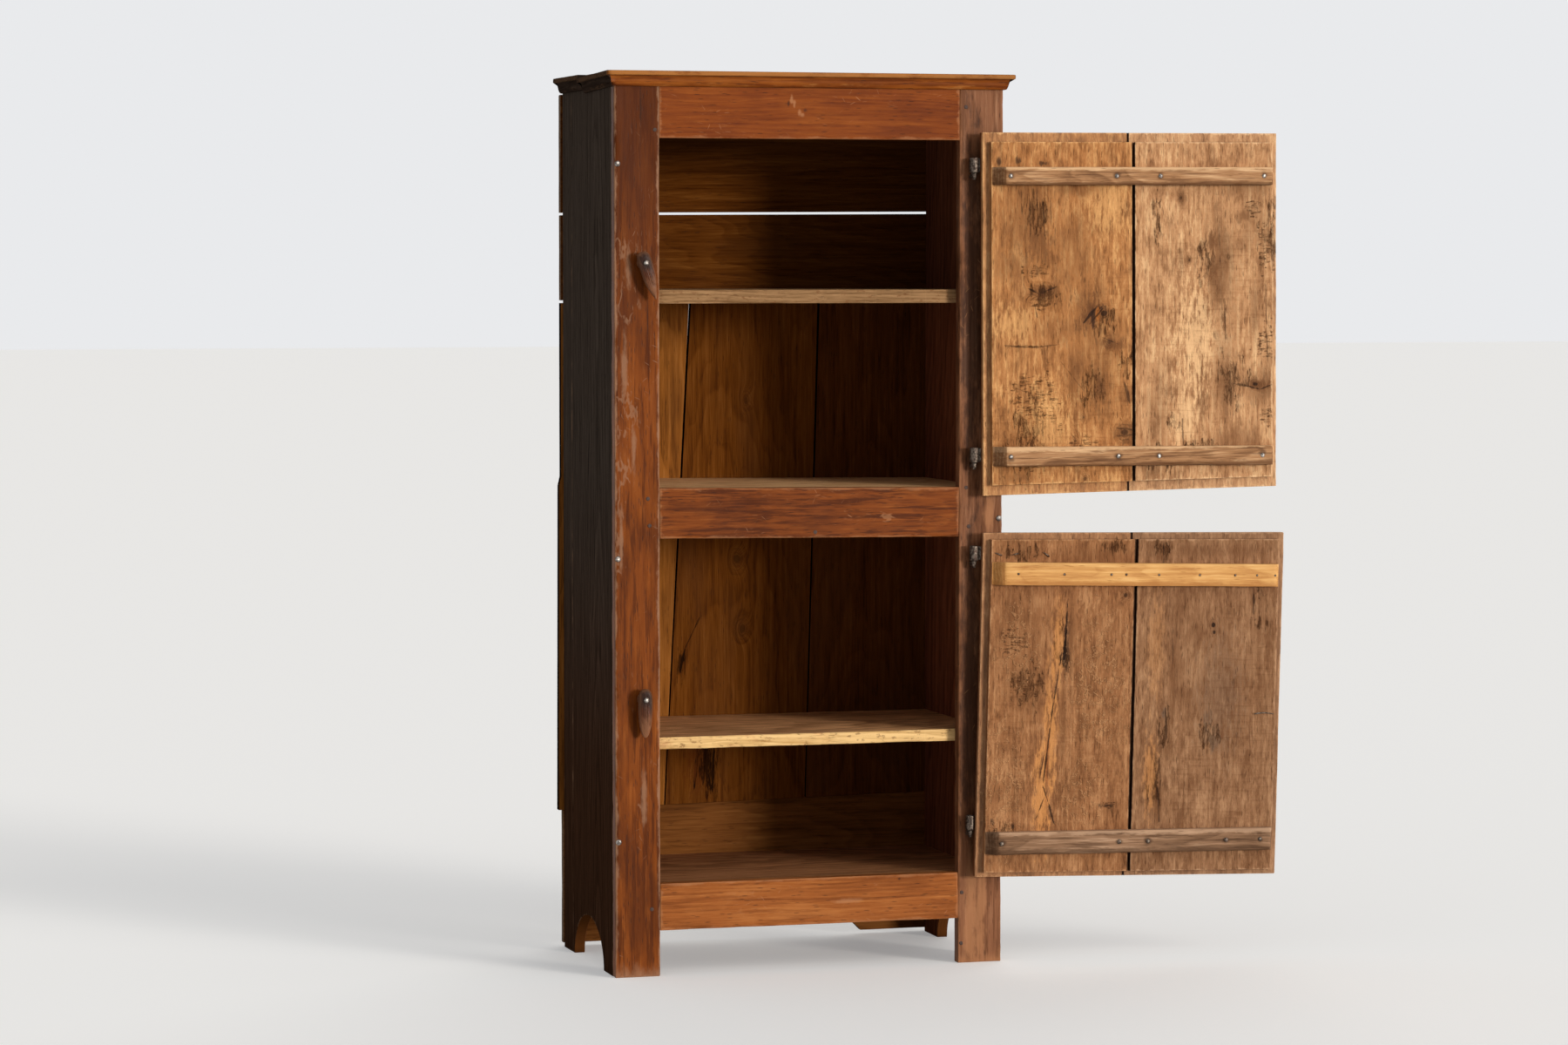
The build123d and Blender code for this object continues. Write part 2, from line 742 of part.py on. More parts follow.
def turn_button(x, z, outline, lean):
    arm = prism([(x + across, z + up) for across, up in outline], (button_front, button_back))
    arm = chamfer(arm.faces().sort_by(Axis.Y)[0].edges(), button_chamfer)
    boss = rod(x, z, (button_back, front - button_gap), button_boss_radius)
    button = arm + boss - rod(x, z, (button_front - 1, front), button_pin_radius + pintle_clearance)
    return button.rotate(Axis((x, 0, z), (0, -1, 0)), lean)


for name, inset, z, outline, lean in (
    ("upper", upper_button_inset, upper_button_height, upper_button_outline, upper_button_lean),
    ("lower", lower_button_inset, lower_button_height, lower_button_outline, 0.0),
):
    x = opening_left - inset
    nodes[name + "_button"] = turn_button(x, z, outline, lean)
    washer_face = button_front - running_gap - washer_thickness
    washer = rod(x, z, (washer_face, washer_face + washer_thickness), washer_radius)
    nodes[name + "_button_washer"] = washer - rod(x, z, (washer_face - 1, front), button_pin_radius + fit_gap)
    depth = front + button_pin_depth - washer_face
    nodes[name + "_button_nail"] = nail(x, z, washer_face, -1, depth, radius=button_pin_radius)
    nodes["left_stile"] -= nail_hole(x, z, washer_face, -1, depth, radius=button_pin_radius)

for name, shape in nodes.items():
    export_step(shape, f"parts/{name}.step")

for name, door in (("upper", upper_door), ("lower", lower_door)):
    print(name, "door hinge at", [round(v, 3) for v in door.axis.position], "along", door.direction)
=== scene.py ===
import functools
import math
import json
import random
import bmesh
import bpy
import numpy as np
from mathutils import Matrix, Vector


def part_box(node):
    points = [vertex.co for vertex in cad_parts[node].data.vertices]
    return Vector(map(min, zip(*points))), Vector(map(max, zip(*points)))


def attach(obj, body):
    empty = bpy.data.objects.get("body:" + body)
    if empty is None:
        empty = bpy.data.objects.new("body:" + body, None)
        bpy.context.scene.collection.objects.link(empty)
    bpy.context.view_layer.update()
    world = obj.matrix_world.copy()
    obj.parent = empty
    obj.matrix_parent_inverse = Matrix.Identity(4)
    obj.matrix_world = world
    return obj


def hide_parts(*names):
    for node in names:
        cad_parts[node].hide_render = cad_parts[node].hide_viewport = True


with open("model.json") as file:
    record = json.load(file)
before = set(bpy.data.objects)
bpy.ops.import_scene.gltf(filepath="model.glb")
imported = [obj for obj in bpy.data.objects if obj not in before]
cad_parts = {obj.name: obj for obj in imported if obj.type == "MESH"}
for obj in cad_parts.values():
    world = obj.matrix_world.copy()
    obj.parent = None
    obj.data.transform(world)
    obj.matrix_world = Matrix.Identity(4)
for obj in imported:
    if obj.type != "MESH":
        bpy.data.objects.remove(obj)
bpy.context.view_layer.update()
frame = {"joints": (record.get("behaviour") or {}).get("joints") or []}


# ---- The room: floor, lamps and camera ----
# A pale studio floor under a pale sky, with a soft lamp in front to the right, low down, a weak one
# above it and another weak one behind, also to the right.
# The camera stands well back on the left, a little above the upper shelf.
camera_place = (-2.05483, -8.05777, 1.30645)
camera_down = 0.05707
camera_right = 0.2821
camera_lens = 105.11
floor_colour = (0.8, 0.8, 0.79)
floor_lift = 0.27
floor_reach = 60.0
sky_colour = (0.97, 0.98, 1.0)
sky_light = 0.38
sky_seen_as = 0.84
lamps = (
    ("low lamp", 37.0, 6.0, 13.0, 2.55), ("high lamp", 37.0, 33.0, 28.0, 0.62),
    ("rear lamp", 150.0, 25.0, 50.0, 0.8)
)
lamp_colour = (1.0, 0.95, 0.88)

bench = {}


def link(value, socket):
    socket.id_data.links.new(value, socket)


def add_node(kind, values=None, **settings):
    """One shader node in the tree on the bench. Of its values, outputs are linked and the rest is set."""
    made = bench["tree"].nodes.new(kind)
    for name, setting in settings.items():
        setattr(made, name, setting)
    for name, value in (values or {}).items():
        if isinstance(value, bpy.types.NodeSocket):
            link(value, made.inputs[name])
        else:
            made.inputs[name].default_value = value
    return made


def calc(operation, *values):
    """One sum on numbers; gives its output socket."""
    return add_node("ShaderNodeMath", dict(enumerate(values)), operation=operation).outputs[0]


times = functools.partial(calc, "MULTIPLY")
most = functools.partial(calc, "MAXIMUM")


def put_on_bench(owner):
    """Clears a material's or the sky's nodes; those added next go into it."""
    owner.use_nodes = True
    owner.node_tree.nodes.clear()
    bench["tree"] = owner.node_tree
    return owner


def new_material(name):
    return put_on_bench(bpy.data.materials.new(name))


def close_material(made, values):
    """Gives a material its one surface shader."""
    shader = add_node("ShaderNodeBsdfPrincipled", values)
    add_node("ShaderNodeOutputMaterial", {"Surface": shader.outputs[0]})
    return made


def seen_directly():
    """1 where the camera looks, itself or by way of a glossy surface, and 0 for other light."""
    rays = add_node("ShaderNodeLightPath").outputs
    return most(rays["Is Camera Ray"], rays["Is Glossy Ray"])


camera = bpy.data.objects.new("camera", bpy.data.cameras.new("camera"))
camera.location = camera_place
camera.rotation_euler = (math.pi / 2 - camera_down, 0, -camera_right)
camera.data.lens = camera_lens
camera.data.sensor_width = 36
camera.data.clip_end = 2 * floor_reach
bpy.context.scene.collection.objects.link(camera)
bpy.context.scene.camera = camera
bpy.context.scene.view_settings.view_transform = "Standard"

floor_corners = [(x * floor_reach, y * floor_reach, 0) for x, y in ((-1, -1), (1, -1), (1, 1), (-1, 1))]
floor_mesh = bpy.data.meshes.new("floor")
floor_mesh.from_pydata(floor_corners, [], [(0, 1, 2, 3)])
floor_material = new_material("pale floor")
floor_mesh.materials.append(
    close_material(floor_material, {
        "Base Color": (*floor_colour, 1), "Roughness": 0.6, "Specular IOR Level": 0.0,
        "Emission Color": (1, 1, 1, 1), "Emission Strength": times(seen_directly(), floor_lift)
    })
)
floor = bpy.data.objects.new("floor", floor_mesh)
bpy.context.scene.collection.objects.link(floor)

sky = put_on_bench(bpy.data.worlds.new("sky"))
strength = add_node(
    "ShaderNodeMapRange", {"Value": seen_directly(), "To Min": sky_light, "To Max": sky_seen_as}
)
sky_shader = add_node("ShaderNodeBackground", {"Color": (*sky_colour, 1), "Strength": strength.outputs[0]})
add_node("ShaderNodeOutputWorld", {"Surface": sky_shader.outputs[0]})
bpy.context.scene.world = sky

for name, right, height, softness, power in lamps:
    lamp = bpy.data.objects.new(name, bpy.data.lights.new(name, "SUN"))
    lamp.data.energy = power
    lamp.data.angle = math.radians(softness)
    lamp.data.color = lamp_colour
    lamp.rotation_euler = (math.radians(90 - height), 0, math.radians(right))
    bpy.context.scene.collection.objects.link(lamp)


# ---- Stiles ----
# The two upright boards of the front frame: oak, planed by hand, stained red brown and waxed.
# Their arrises and feet are worn round. The rails are tenoned into them.
arris_band = 0.012


def wobble(points, size, seed):
    """A smooth random height between about -1 and 1 at each point, with humps of a given size."""
    draw = random.Random(seed)
    height = np.zeros(len(points))
    waves = 7
    for _ in range(waves):
        turn = np.array([draw.gauss(0, 1) for _ in range(3)])
        turn *= 2 * math.pi / (size * np.linalg.norm(turn)) * draw.uniform(0.6, 1.5)
        height += np.sin(points @ turn + draw.uniform(0, 2 * math.pi))
    return height / math.sqrt(waves)


def cut_lines(spans, extra, arris, step):
    """Where to divide one direction: close together by the end of each span, even in between."""
    near = set(extra)
    for low, high in spans:
        for inset in (0.0, arris * 0.35, arris, arris * 2.2, arris * 5):
            if inset < (high - low) * 0.45:
                near.update((low + inset, high - inset))
    lines = []
    for place in sorted(near):
        if lines and place - lines[-1] < 1e-5:
            continue
        if lines:
            pieces = math.ceil((place - lines[-1]) / step)
            start = lines[-1]
            lines += [start + (place - start) * i / pieces for i in range(1, pieces)]
        lines.append(place)
    return np.array(lines)


def worn_block(name, boxes, place, arris=0.0016, step=0.013, chips=6, waves=0.0003, seed=1, extra=()):
    """A hand-worked piece of timber as one closed skin, with worn arrises and shallow waves.

    boxes: the low and high corners of the boxes that it is made of, as (across, along, through); place turns
    arrays of those three into the board's real ones, and then into the object's x, y and z.
    """
    boxes = np.array(boxes, float)
    lines = [cut_lines(boxes[:, :, i], extra if i == 0 else (), arris, step) for i in range(3)]
    middles = [(line[1:] + line[:-1]) / 2 for line in lines]
    cells = np.stack(np.meshgrid(*middles, indexing="ij"), -1)
    filled = np.zeros(cells.shape[:3], bool)
    for low, high in boxes:
        filled |= ((cells > low) & (cells < high)).all(-1)
    corner = np.stack(np.meshgrid(*[np.arange(len(line)) for line in lines], indexing="ij"), -1)
    quads = []
    for axis in range(3):
        sides = [(1, 1) if i == axis else (0, 0) for i in range(3)]
        solid = np.moveaxis(np.pad(filled, sides), axis, 0)
        for before in (True, False):
            here, j, k = np.nonzero((solid[:-1] == before) & (solid[1:] != before))
            spots = np.moveaxis(corner, axis, 0)
            ring = [
                spots[here, j, k], spots[here, j + 1, k], spots[here, j + 1, k + 1], spots[here, j, k + 1]
            ]
            if before == (axis == 1):
                ring.reverse()
            quads.append(np.stack(ring, 1))
    quads = np.concatenate(quads)
    flat = np.ravel_multi_index(tuple(np.moveaxis(quads, -1, 0)), [len(line) for line in lines])
    used, quads = np.unique(flat, return_inverse=True)
    quads = quads.reshape(-1, 4)
    index = np.unravel_index(used, [len(line) for line in lines])
    points = np.stack([lines[i][index[i]] for i in range(3)], -1)

    draw = random.Random(seed)
    radius = arris * np.clip(
        0.75 + 0.4 * wobble(points, 0.11, seed) + 0.25 * wobble(points, 0.03, seed + 1), 0.25, 2
    )
    low_end, high_end = boxes[:, 0].min(0), boxes[:, 1].max(0)
    for _ in range(chips):
        spot = [
            draw.choice((low_end[0], high_end[0])), draw.uniform(low_end[1], high_end[1]),
            draw.choice((low_end[2], high_end[2]))
        ]
        reach = draw.uniform(0.004, 0.014)
        away = np.linalg.norm((points - spot) / (1, 2.2, 1), axis=1) / reach
        radius += draw.uniform(0.6, 1.5) * arris * np.exp(-away * away)
    inside = [((points > low - 1e-7) & (points < high + 1e-7)).all(1) for low, high in boxes]
    alone = np.sum(inside, 0) == 1
    worn = points.copy()
    arris_near = np.zeros(len(points))
    for number, (low, high) in enumerate(boxes):
        mine = inside[number] & alone
        if number and abs(low[2] - boxes[0][1][2]) < 1e-6:
            low = low - (0, 0, 1)
        round_off = np.minimum(radius[mine], (high - low).min() * 0.45)[:, None]
        core = np.clip(points[mine], low + round_off, high - round_off)
        out = points[mine] - core
        reach = np.maximum(np.linalg.norm(out, axis=1), 1e-9)[:, None]
        worn[mine] = core + out / reach * np.minimum(round_off, reach)
        gaps = np.minimum(points[mine] - low, high - points[mine])
        order = np.sort(gaps, axis=1)
        arris_near[mine] = 1 - np.clip(order[:, 1] / arris_band, 0, 1)
        on_face = gaps[:, 2] <= order[:, 0] + 1e-9
        inner = np.clip((order[:, 1] - arris) / 0.02, 0, 1) * on_face
        hollow = 1 + 0.7 * wobble(points[mine], 0.16, seed + 2) + 0.4 * wobble(points[mine], 0.05, seed + 3)
        facing = np.where(points[mine, 2] < (low[2] + high[2]) / 2, 1.0, -1.0)
        worn[mine, 2] += facing * inner * waves * np.clip(hollow, 0, None)

    board, placed = place(*worn.T)
    mesh = bpy.data.meshes.new(name)
    mesh.from_pydata(np.column_stack(placed).tolist(), [], quads.tolist())
    keep_timber(mesh, np.column_stack(board), arris_near)
    return mesh


def keep_timber(mesh, board, arris_near):
    """Keeps a piece's own places and its nearness to an arris, turns its faces out and smooths them."""
    spots = np.array([v.co for v in mesh.vertices])
    middle = spots.mean(0)
    if sum(((Vector(middle) - f.center).dot(f.normal) * f.area for f in mesh.polygons)) > 0:
        mesh.flip_normals()
    own = mesh.attributes.new("timber", "FLOAT_VECTOR", "POINT")
    own.data.foreach_set("vector", np.asarray(board, np.float32).ravel())
    near = mesh.attributes.new("arris", "FLOAT", "POINT")
    near.data.foreach_set("value", np.asarray(arris_near, np.float32))
    mesh.polygons.foreach_set("use_smooth", [True] * len(mesh.polygons))
    mesh.update()


def follow(line, at):
    """A number, or where a line of (place, value) points is at each place."""
    return np.interp(at, *zip(*line)) if isinstance(line, (list, tuple)) else np.full(len(at), float(line))


def board_mesh(name, sides, ends, faces_at, turn, **look):
    """A board between its two sides, across, and its two ends, along.

    Each is a number, or a line of (place, value) points for an edge that leans, steps or is cut to a shape.
    """
    middle = [np.mean([v for _, v in e]) if isinstance(e, (list, tuple)) else e for e in (*sides, *ends)]
    left_side, right_side, low_end, high_end = middle
    extra = [p for e in ends if isinstance(e, (list, tuple)) for p, _ in e]
    extra = [p for p in extra if left_side < p < right_side]

    def place(across, along, through):
        share = (across - left_side) / (right_side - left_side)
        rise = (along - low_end) / (high_end - low_end)
        real_across = follow(sides[0], along) * (1 - share) + follow(sides[1], along) * share
        real_along = follow(ends[0], real_across) * (1 - rise) + follow(ends[1], real_across) * rise
        return (real_across, real_along, through), turn(real_across, real_along, through)

    box = ((left_side, low_end, faces_at[0]), (right_side, high_end, faces_at[1]))
    return worn_block(name, [box], place, extra=extra, **look)


def new_piece(name, mesh, material, node, body="root"):
    """Puts a finished mesh into the scene as one piece, in place of a node of the part."""
    piece = bpy.data.objects.new(name, mesh)
    mesh.materials.append(material)
    bpy.context.scene.collection.objects.link(piece)
    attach(piece, body)
    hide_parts(node)


def upright(across, along, through):
    """For boards that stand in the plane of the front."""
    return across, through, along


def new_group(name, inputs, outputs=("Mask",)):
    """Puts a new node group with named inputs and outputs on the bench; gives its inputs and its outputs."""
    tree = bpy.data.node_groups.new(name, "ShaderNodeTree")
    for label, value in inputs.items():
        kind = "NodeSocketFloat" if isinstance(value, float) else "NodeSocketVector"
        socket = tree.interface.new_socket(label, in_out="INPUT", socket_type=kind)
        socket.default_value = value
    for label in outputs:
        tree.interface.new_socket(label, in_out="OUTPUT", socket_type="NodeSocketFloat")
    bench["tree"] = tree
    return tree.nodes.new("NodeGroupInput").outputs, tree.nodes.new("NodeGroupOutput").inputs


def use_group(group, **values):
    """Places a group in a material, its inputs named in small letters; gives its outputs."""
    values = {name.replace("_", " ").title(): value for name, value in values.items()}
    return add_node("ShaderNodeGroup", values, node_tree=group).outputs


times_plus = functools.partial(calc, "MULTIPLY_ADD")
plus = functools.partial(calc, "ADD")
minus = functools.partial(calc, "SUBTRACT")
over = functools.partial(calc, "DIVIDE")
unsigned = functools.partial(calc, "ABSOLUTE")


def vector_calc(operation, *values, output="Vector"):
    return add_node("ShaderNodeVectorMath", dict(enumerate(values)), operation=operation).outputs[output]


def scaled_by(vector, number):
    return add_node("ShaderNodeVectorMath", {0: vector, "Scale": number}, operation="SCALE").outputs[0]


def stretched(given):
    """A group's places, drawn out by its own Across and Along."""
    stretch = add_node(
        "ShaderNodeCombineXYZ", {"X": given["Across"], "Y": given["Along"], "Z": given["Across"]}
    )
    return vector_calc("MULTIPLY", given["Places"], stretch.outputs[0])


def parts_of(vector):
    return add_node("ShaderNodeSeparateXYZ", {0: vector}).outputs


def noise(places, across, along, detail, roughness=0.5):
    """Cloudy noise between 0 and 1, with so many clouds per metre across and through, and along."""
    scaled = vector_calc("MULTIPLY", places, (across, along, across))
    values = {"Vector": scaled, "Scale": 1.0, "Detail": detail, "Roughness": roughness}
    return add_node("ShaderNodeTexNoise", values).outputs["Fac"]


def step_up(value, low, high):
    """0 below low, 1 above high, and smooth between; with low above high it runs the other way."""
    values = {"Value": value, "From Min": min(low, high), "From Max": max(low, high)}
    if low > high:
        values.update({"To Min": 1.0, "To Max": 0.0})
    return add_node("ShaderNodeMapRange", values, interpolation_type="SMOOTHSTEP").outputs[0]


def mix(share, first, second, blend="MIX"):
    """Two colours mixed; colours are sockets or (red, green, blue)."""
    first, second = ((*colour, 1) if isinstance(colour, tuple) else colour for colour in (first, second))
    values = {0: share, 6: first, 7: second}
    return add_node(
        "ShaderNodeMix", values, data_type="RGBA", blend_type=blend, clamp_factor=True
    ).outputs[2]


def bump(heights):
    """Relief from (height, depth in metres) pairs; gives a normal."""
    total = None
    for height, depth in heights:
        scaled = times(height, depth)
        total = scaled if total is None else plus(total, scaled)
    return add_node("ShaderNodeBump", {"Height": total, "Distance": 1.0, "Strength": 1.0}).outputs[0]


def make_oak_group():
    """The grain of a board cut from a slightly leaning, crooked trunk.

    Figure is the streaked mix of year rings and fibres, Pores the short dark open vessels, Cloud the slow
    change of tone over the board, and Relief how far the harder wood stands up.
    """
    given, result = new_group(
        "oak grain",
        {
            "Places": (0, 0, 0), "Ring Width": 0.006, "Pith Across": 0.0, "Pith Through": 0.05, "Lean": 0.03,
            "Wander": 0.05, "Pull": 0.0, "Ring Share": 0.35
        },
        ("Figure", "Pores", "Cloud", "Relief")
    )
    part = parts_of(given["Places"])
    slow = minus(noise(given["Places"], 4, 1.3, 1.0), 0.5)
    quick = minus(noise(given["Places"], 24, 5, 2.0), 0.5)
    bend = times(times_plus(quick, 0.22, slow), given["Wander"])
    across = minus(plus(part["X"], bend), given["Pith Across"])
    leaning = times_plus(part["Y"], given["Lean"], part["Z"])
    through = minus(plus(leaning, bend), given["Pith Through"])
    squared = times_plus(across, across, times(through, through))
    reach = plus(calc("SQRT", squared), given["Pull"])
    ring = over(reach, given["Ring Width"])
    within = calc("FRACT", ring)
    band = times(step_up(within, 0.0, 0.85), step_up(within, 1.0, 0.86))
    year = add_node("ShaderNodeTexWhiteNoise", {"W": calc("FLOOR", ring)}, noise_dimensions="1D")
    rings = times_plus(year.outputs["Value"], 0.4, times(band, 0.6))
    aside = add_node("ShaderNodeCombineXYZ", {"X": times(given["Pull"], 1.6)}).outputs[0]
    bent = vector_calc("ADD", given["Places"], aside)
    streak = noise(bent, 170, 5.5, 3.0, 0.6)
    fibre = noise(bent, 800, 24, 2.0, 0.6)
    blend = times_plus(fibre, 0.38, times(streak, 0.62))
    fibres = times_plus(minus(blend, 0.5), 2.1, 0.5)
    share = add_node("ShaderNodeMix", {0: given["Ring Share"], 2: fibres, 3: rings})
    link(share.outputs[0], result["Figure"])
    squeezed = vector_calc("MULTIPLY", bent, (1.0, 0.13, 1.0))
    cells = add_node("ShaderNodeTexVoronoi", {"Vector": squeezed, "Scale": 300.0}, feature="F1").outputs
    open_pore = step_up(cells["Distance"], 0.3, 0.12)
    chance = parts_of(cells["Color"])["X"]
    early = step_up(times_plus(band, -0.5, chance), 0.3, 0.45)
    link(times(open_pore, early), result["Pores"])
    link(noise(given["Places"], 10, 3, 3.0, 0.55), result["Cloud"])
    link(times_plus(band, 0.3, times(blend, 0.8)), result["Relief"])
    return bench["tree"]


def make_dashes_group():
    """Short thin marks scattered over a face, each turned a little its own way."""
    given, result = new_group(
        "scattered dashes",
        {"Places": (0, 0, 0), "Per Metre": 60.0, "Length": 0.4, "Width": 0.05, "Spread": 0.5, "Share": 0.6}
    )
    scaled = scaled_by(vector_calc("MULTIPLY", given["Places"], (1, 1, 0)), given["Per Metre"])
    cells = add_node(
        "ShaderNodeTexVoronoi", {"Vector": scaled, "Scale": 1.0}, voronoi_dimensions="2D"
    ).outputs
    from_middle = vector_calc("SUBTRACT", scaled, cells["Position"])
    chance = parts_of(cells["Color"])
    turn = times(minus(chance["X"], 0.5), given["Spread"])
    turned = add_node(
        "ShaderNodeVectorRotate", {"Vector": from_middle, "Angle": turn}, rotation_type="Z_AXIS"
    ).outputs[0]
    part = parts_of(turned)
    along = over(unsigned(part["Y"]), given["Length"])
    thin = times(given["Width"], times_plus(chance["Z"], 0.8, 0.5))
    across = over(unsigned(part["X"]), thin)
    size = times_plus(along, along, times(across, across))
    there = calc("LESS_THAN", chance["Y"], given["Share"])
    link(times(step_up(size, 1.0, 0.3), there), result["Mask"])
    return bench["tree"]


def make_curls_group():
    """Thin curling lines, as where wax and fibres have been scraped up; Zone is where they show."""
    given, result = new_group(
        "curled scrapes",
        {"Places": (0, 0, 0), "Zone": 0.5, "Across": 60.0, "Along": 22.0, "Lines": 3.0, "Width": 0.12}
    )
    scaled = stretched(given)
    cloud = add_node("ShaderNodeTexNoise", {"Vector": scaled, "Scale": 1.0, "Detail": 3.0}).outputs["Fac"]
    turn = calc("FRACT", times(cloud, given["Lines"]))
    off = unsigned(minus(turn, 0.5))
    line = step_up(over(off, given["Width"]), 1.0, 0.3)
    broken = noise(scaled, 2.1, 2.1, 2.0, 0.6)
    shown = step_up(times_plus(given["Zone"], 0.34, broken), 0.62, 0.78)
    link(times(line, shown), result["Mask"])
    return bench["tree"]


def make_stain_group():
    """One ragged stain: 1 in its middle, fading out over its edge."""
    given, result = new_group(
        "stain",
        {
            "Places": (0, 0, 0), "Ragged": 0.5, "Across": 0.0, "Along": 0.0, "Half Width": 0.02,
            "Half Height": 0.02, "Uneven": 2.4
        }
    )
    part = parts_of(given["Places"])
    across = over(minus(part["X"], given["Across"]), given["Half Width"])
    along = over(minus(part["Y"], given["Along"]), given["Half Height"])
    away = calc("SQRT", times_plus(across, across, times(along, along)))
    uneven = times_plus(minus(given["Ragged"], 0.5), given["Uneven"], away)
    link(step_up(uneven, 1.2, 0.3), result["Mask"])
    return bench["tree"]


oak_group = make_oak_group()
dashes_group = make_dashes_group()
curls_group = make_curls_group()
stain_group = make_stain_group()
every_timber = 0


def oak_places():
    """A board's own places, and the same places in a part of the tree that no other board comes from."""
    global every_timber
    every_timber += 1
    own = add_node("ShaderNodeAttribute", attribute_name="timber").outputs["Vector"]
    shift = (1.37 * every_timber, 0.73 * every_timber, 0.0)
    return own, vector_calc("ADD", own, shift), shift[0]


def arris_of():
    return add_node("ShaderNodeAttribute", attribute_name="arris").outputs["Fac"]


def oak_grain(places, shift, pith, ring_width, ring_share, wander, pull=0.0):
    """The grain of a board whose tree had its pith at so much across and through."""
    return use_group(
        oak_group, places=places, pith_across=pith[0] + shift, pith_through=pith[1], ring_width=ring_width,
        ring_share=ring_share, wander=wander, pull=pull
    )


def toned(grain, tones, to_middle, to_light):
    """A dark, a middle and a light tone laid along the grain."""
    colour = mix(step_up(grain["Figure"], *to_middle), tones[0], tones[1])
    return mix(step_up(grain["Figure"], *to_light), colour, tones[2])


def close_wood(made, colour, roughness, gloss, heights):
    """Gives a wooden material its surface; heights are pairs of a height and its depth in metres."""
    return close_material(made, {
        "Base Color": colour, "Roughness": roughness, "Specular IOR Level": gloss, "Normal": bump(heights)
    })


def stain_mask(own, ragged, zone, uneven):
    across, along, half_width, half_height = zone
    return use_group(
        stain_group, places=own, ragged=ragged, across=across, along=along, half_width=half_width,
        half_height=half_height, uneven=uneven
    )["Mask"]


def zones_of(own, ragged, zones, start=0.0):
    """One mask for a list of ragged zones, each (across, along, half width, half height)."""
    total = start
    for zone in zones:
        total = most(total, stain_mask(own, ragged, zone, 2.4))
    return total


def object_part(axis):
    """One of the object's own X, Y and Z."""
    return parts_of(add_node("ShaderNodeTexCoord").outputs["Object"])[axis]


frame_dark = (0.07, 0.014, 0.002)
frame_red = (0.205, 0.05, 0.007)
frame_scuffed = (0.44, 0.2, 0.09)
# Dark colour for pores, grime, and painted shade.
frame_grime_and_shade = (0.03, 0.012, 0.007)


def waxed_oak(
    name, pith, tones, scuffed=frame_scuffed, rubbed=0.5, wear_and_highlight_share=0.4, foot_worn=False, scraped=(),
    darker_above=None, grimed_and_shaded=(), streaked=0.7, bare=(), gloss=0.07
):
    """Stained and waxed oak, rubbed pale where hands and feet reach it; on the left stile the pale arrises
    also carry a painted highlight.

    Zones: scraped up in curls, grimed where nobody polishes or given painted shade where the doors' shadow
    and the cornice's recesses fall, and rubbed bare.
    """
    made = new_material(name)
    own, places, shift = oak_places()
    grain = oak_grain(places, shift, pith, ring_width=0.007, ring_share=0.25, wander=0.06)
    dark, _, light = tones
    colour = toned(grain, tones, (0.08, 0.52), (0.5, 0.98))
    mottled = noise(places, 34, 9, 4.0, 0.6)
    tone = times_plus(mottled, 0.5, times(grain["Cloud"], 0.5))
    colour = mix(times(step_up(tone, 0.46, 0.62), 0.6), colour, dark)
    colour = mix(times(step_up(tone, 0.46, 0.34), 0.4), colour, light)
    flowing = noise(places, 120, 8, 5.0, 0.62)
    colour = mix(times(step_up(flowing, 0.5, 0.62), streaked), colour, dark)
    if darker_above:
        high_up = step_up(parts_of(own)["Y"], darker_above[0], darker_above[1])
        colour = mix(times(high_up, 0.75), colour, dark)
    colour = mix(times(grain["Pores"], 0.65), colour, frame_grime_and_shade)
    scuffs = use_group(
        dashes_group, places=own, per_metre=60.0, length=0.42, width=0.045, spread=2.4, share=0.55
    )["Mask"]
    nicks = use_group(
        dashes_group, places=vector_calc("MULTIPLY", own, (1.0, 0.5, 1.0)), per_metre=130.0, length=0.4,
        width=0.06, spread=1.2, share=0.35
    )["Mask"]
    ragged = noise(places, 70, 22, 4.0, 0.65)
    worn = step_up(times_plus(arris_of(), 0.62, ragged), 0.86, 1.12)
    patches = step_up(noise(own, 16, 7, 3.0, 0.6), 0.5, 0.68)
    rubs = times(most(scuffs, times(nicks, 0.6)), patches)
    # Listed dark zones: real grime and cracks on some boards, painted shade on others.
    colour = mix(times(zones_of(own, ragged, grimed_and_shaded), 0.75), colour, frame_grime_and_shade)
    scraped_zone = zones_of(own, ragged, scraped, times(patches, 0.35))
    curls = use_group(
        curls_group, places=own, zone=scraped_zone, across=50.0, along=19.0, lines=3.3, width=0.17
    )["Mask"]
    rubs = most(rubs, times(times(curls, scraped_zone), 0.85))
    # Pale arrises: rubbed wear, and on the left stile also a painted highlight where the edge catches the
    # light.
    pale = most(times(worn, wear_and_highlight_share), times(rubs, rubbed))
    if foot_worn:
        height = times_plus(ragged, 0.05, object_part("Z"))
        pale = most(pale, times(step_up(height, 0.05, 0.02), 0.6))
    rubbed_bare = zones_of(own, ragged, bare)
    pale = most(pale, times(rubbed_bare, 0.55))
    colour = mix(pale, colour, scuffed)
    rough = times_plus(ragged, 0.18, times_plus(pale, 0.25, 0.36))
    return close_wood(made, colour, rough, gloss, (
        (grain["Relief"], 0.00022), (grain["Pores"], -0.00014), (scuffs, -8e-5), (nicks, -0.00012),
        (grain["Cloud"], 0.0006)
    ))


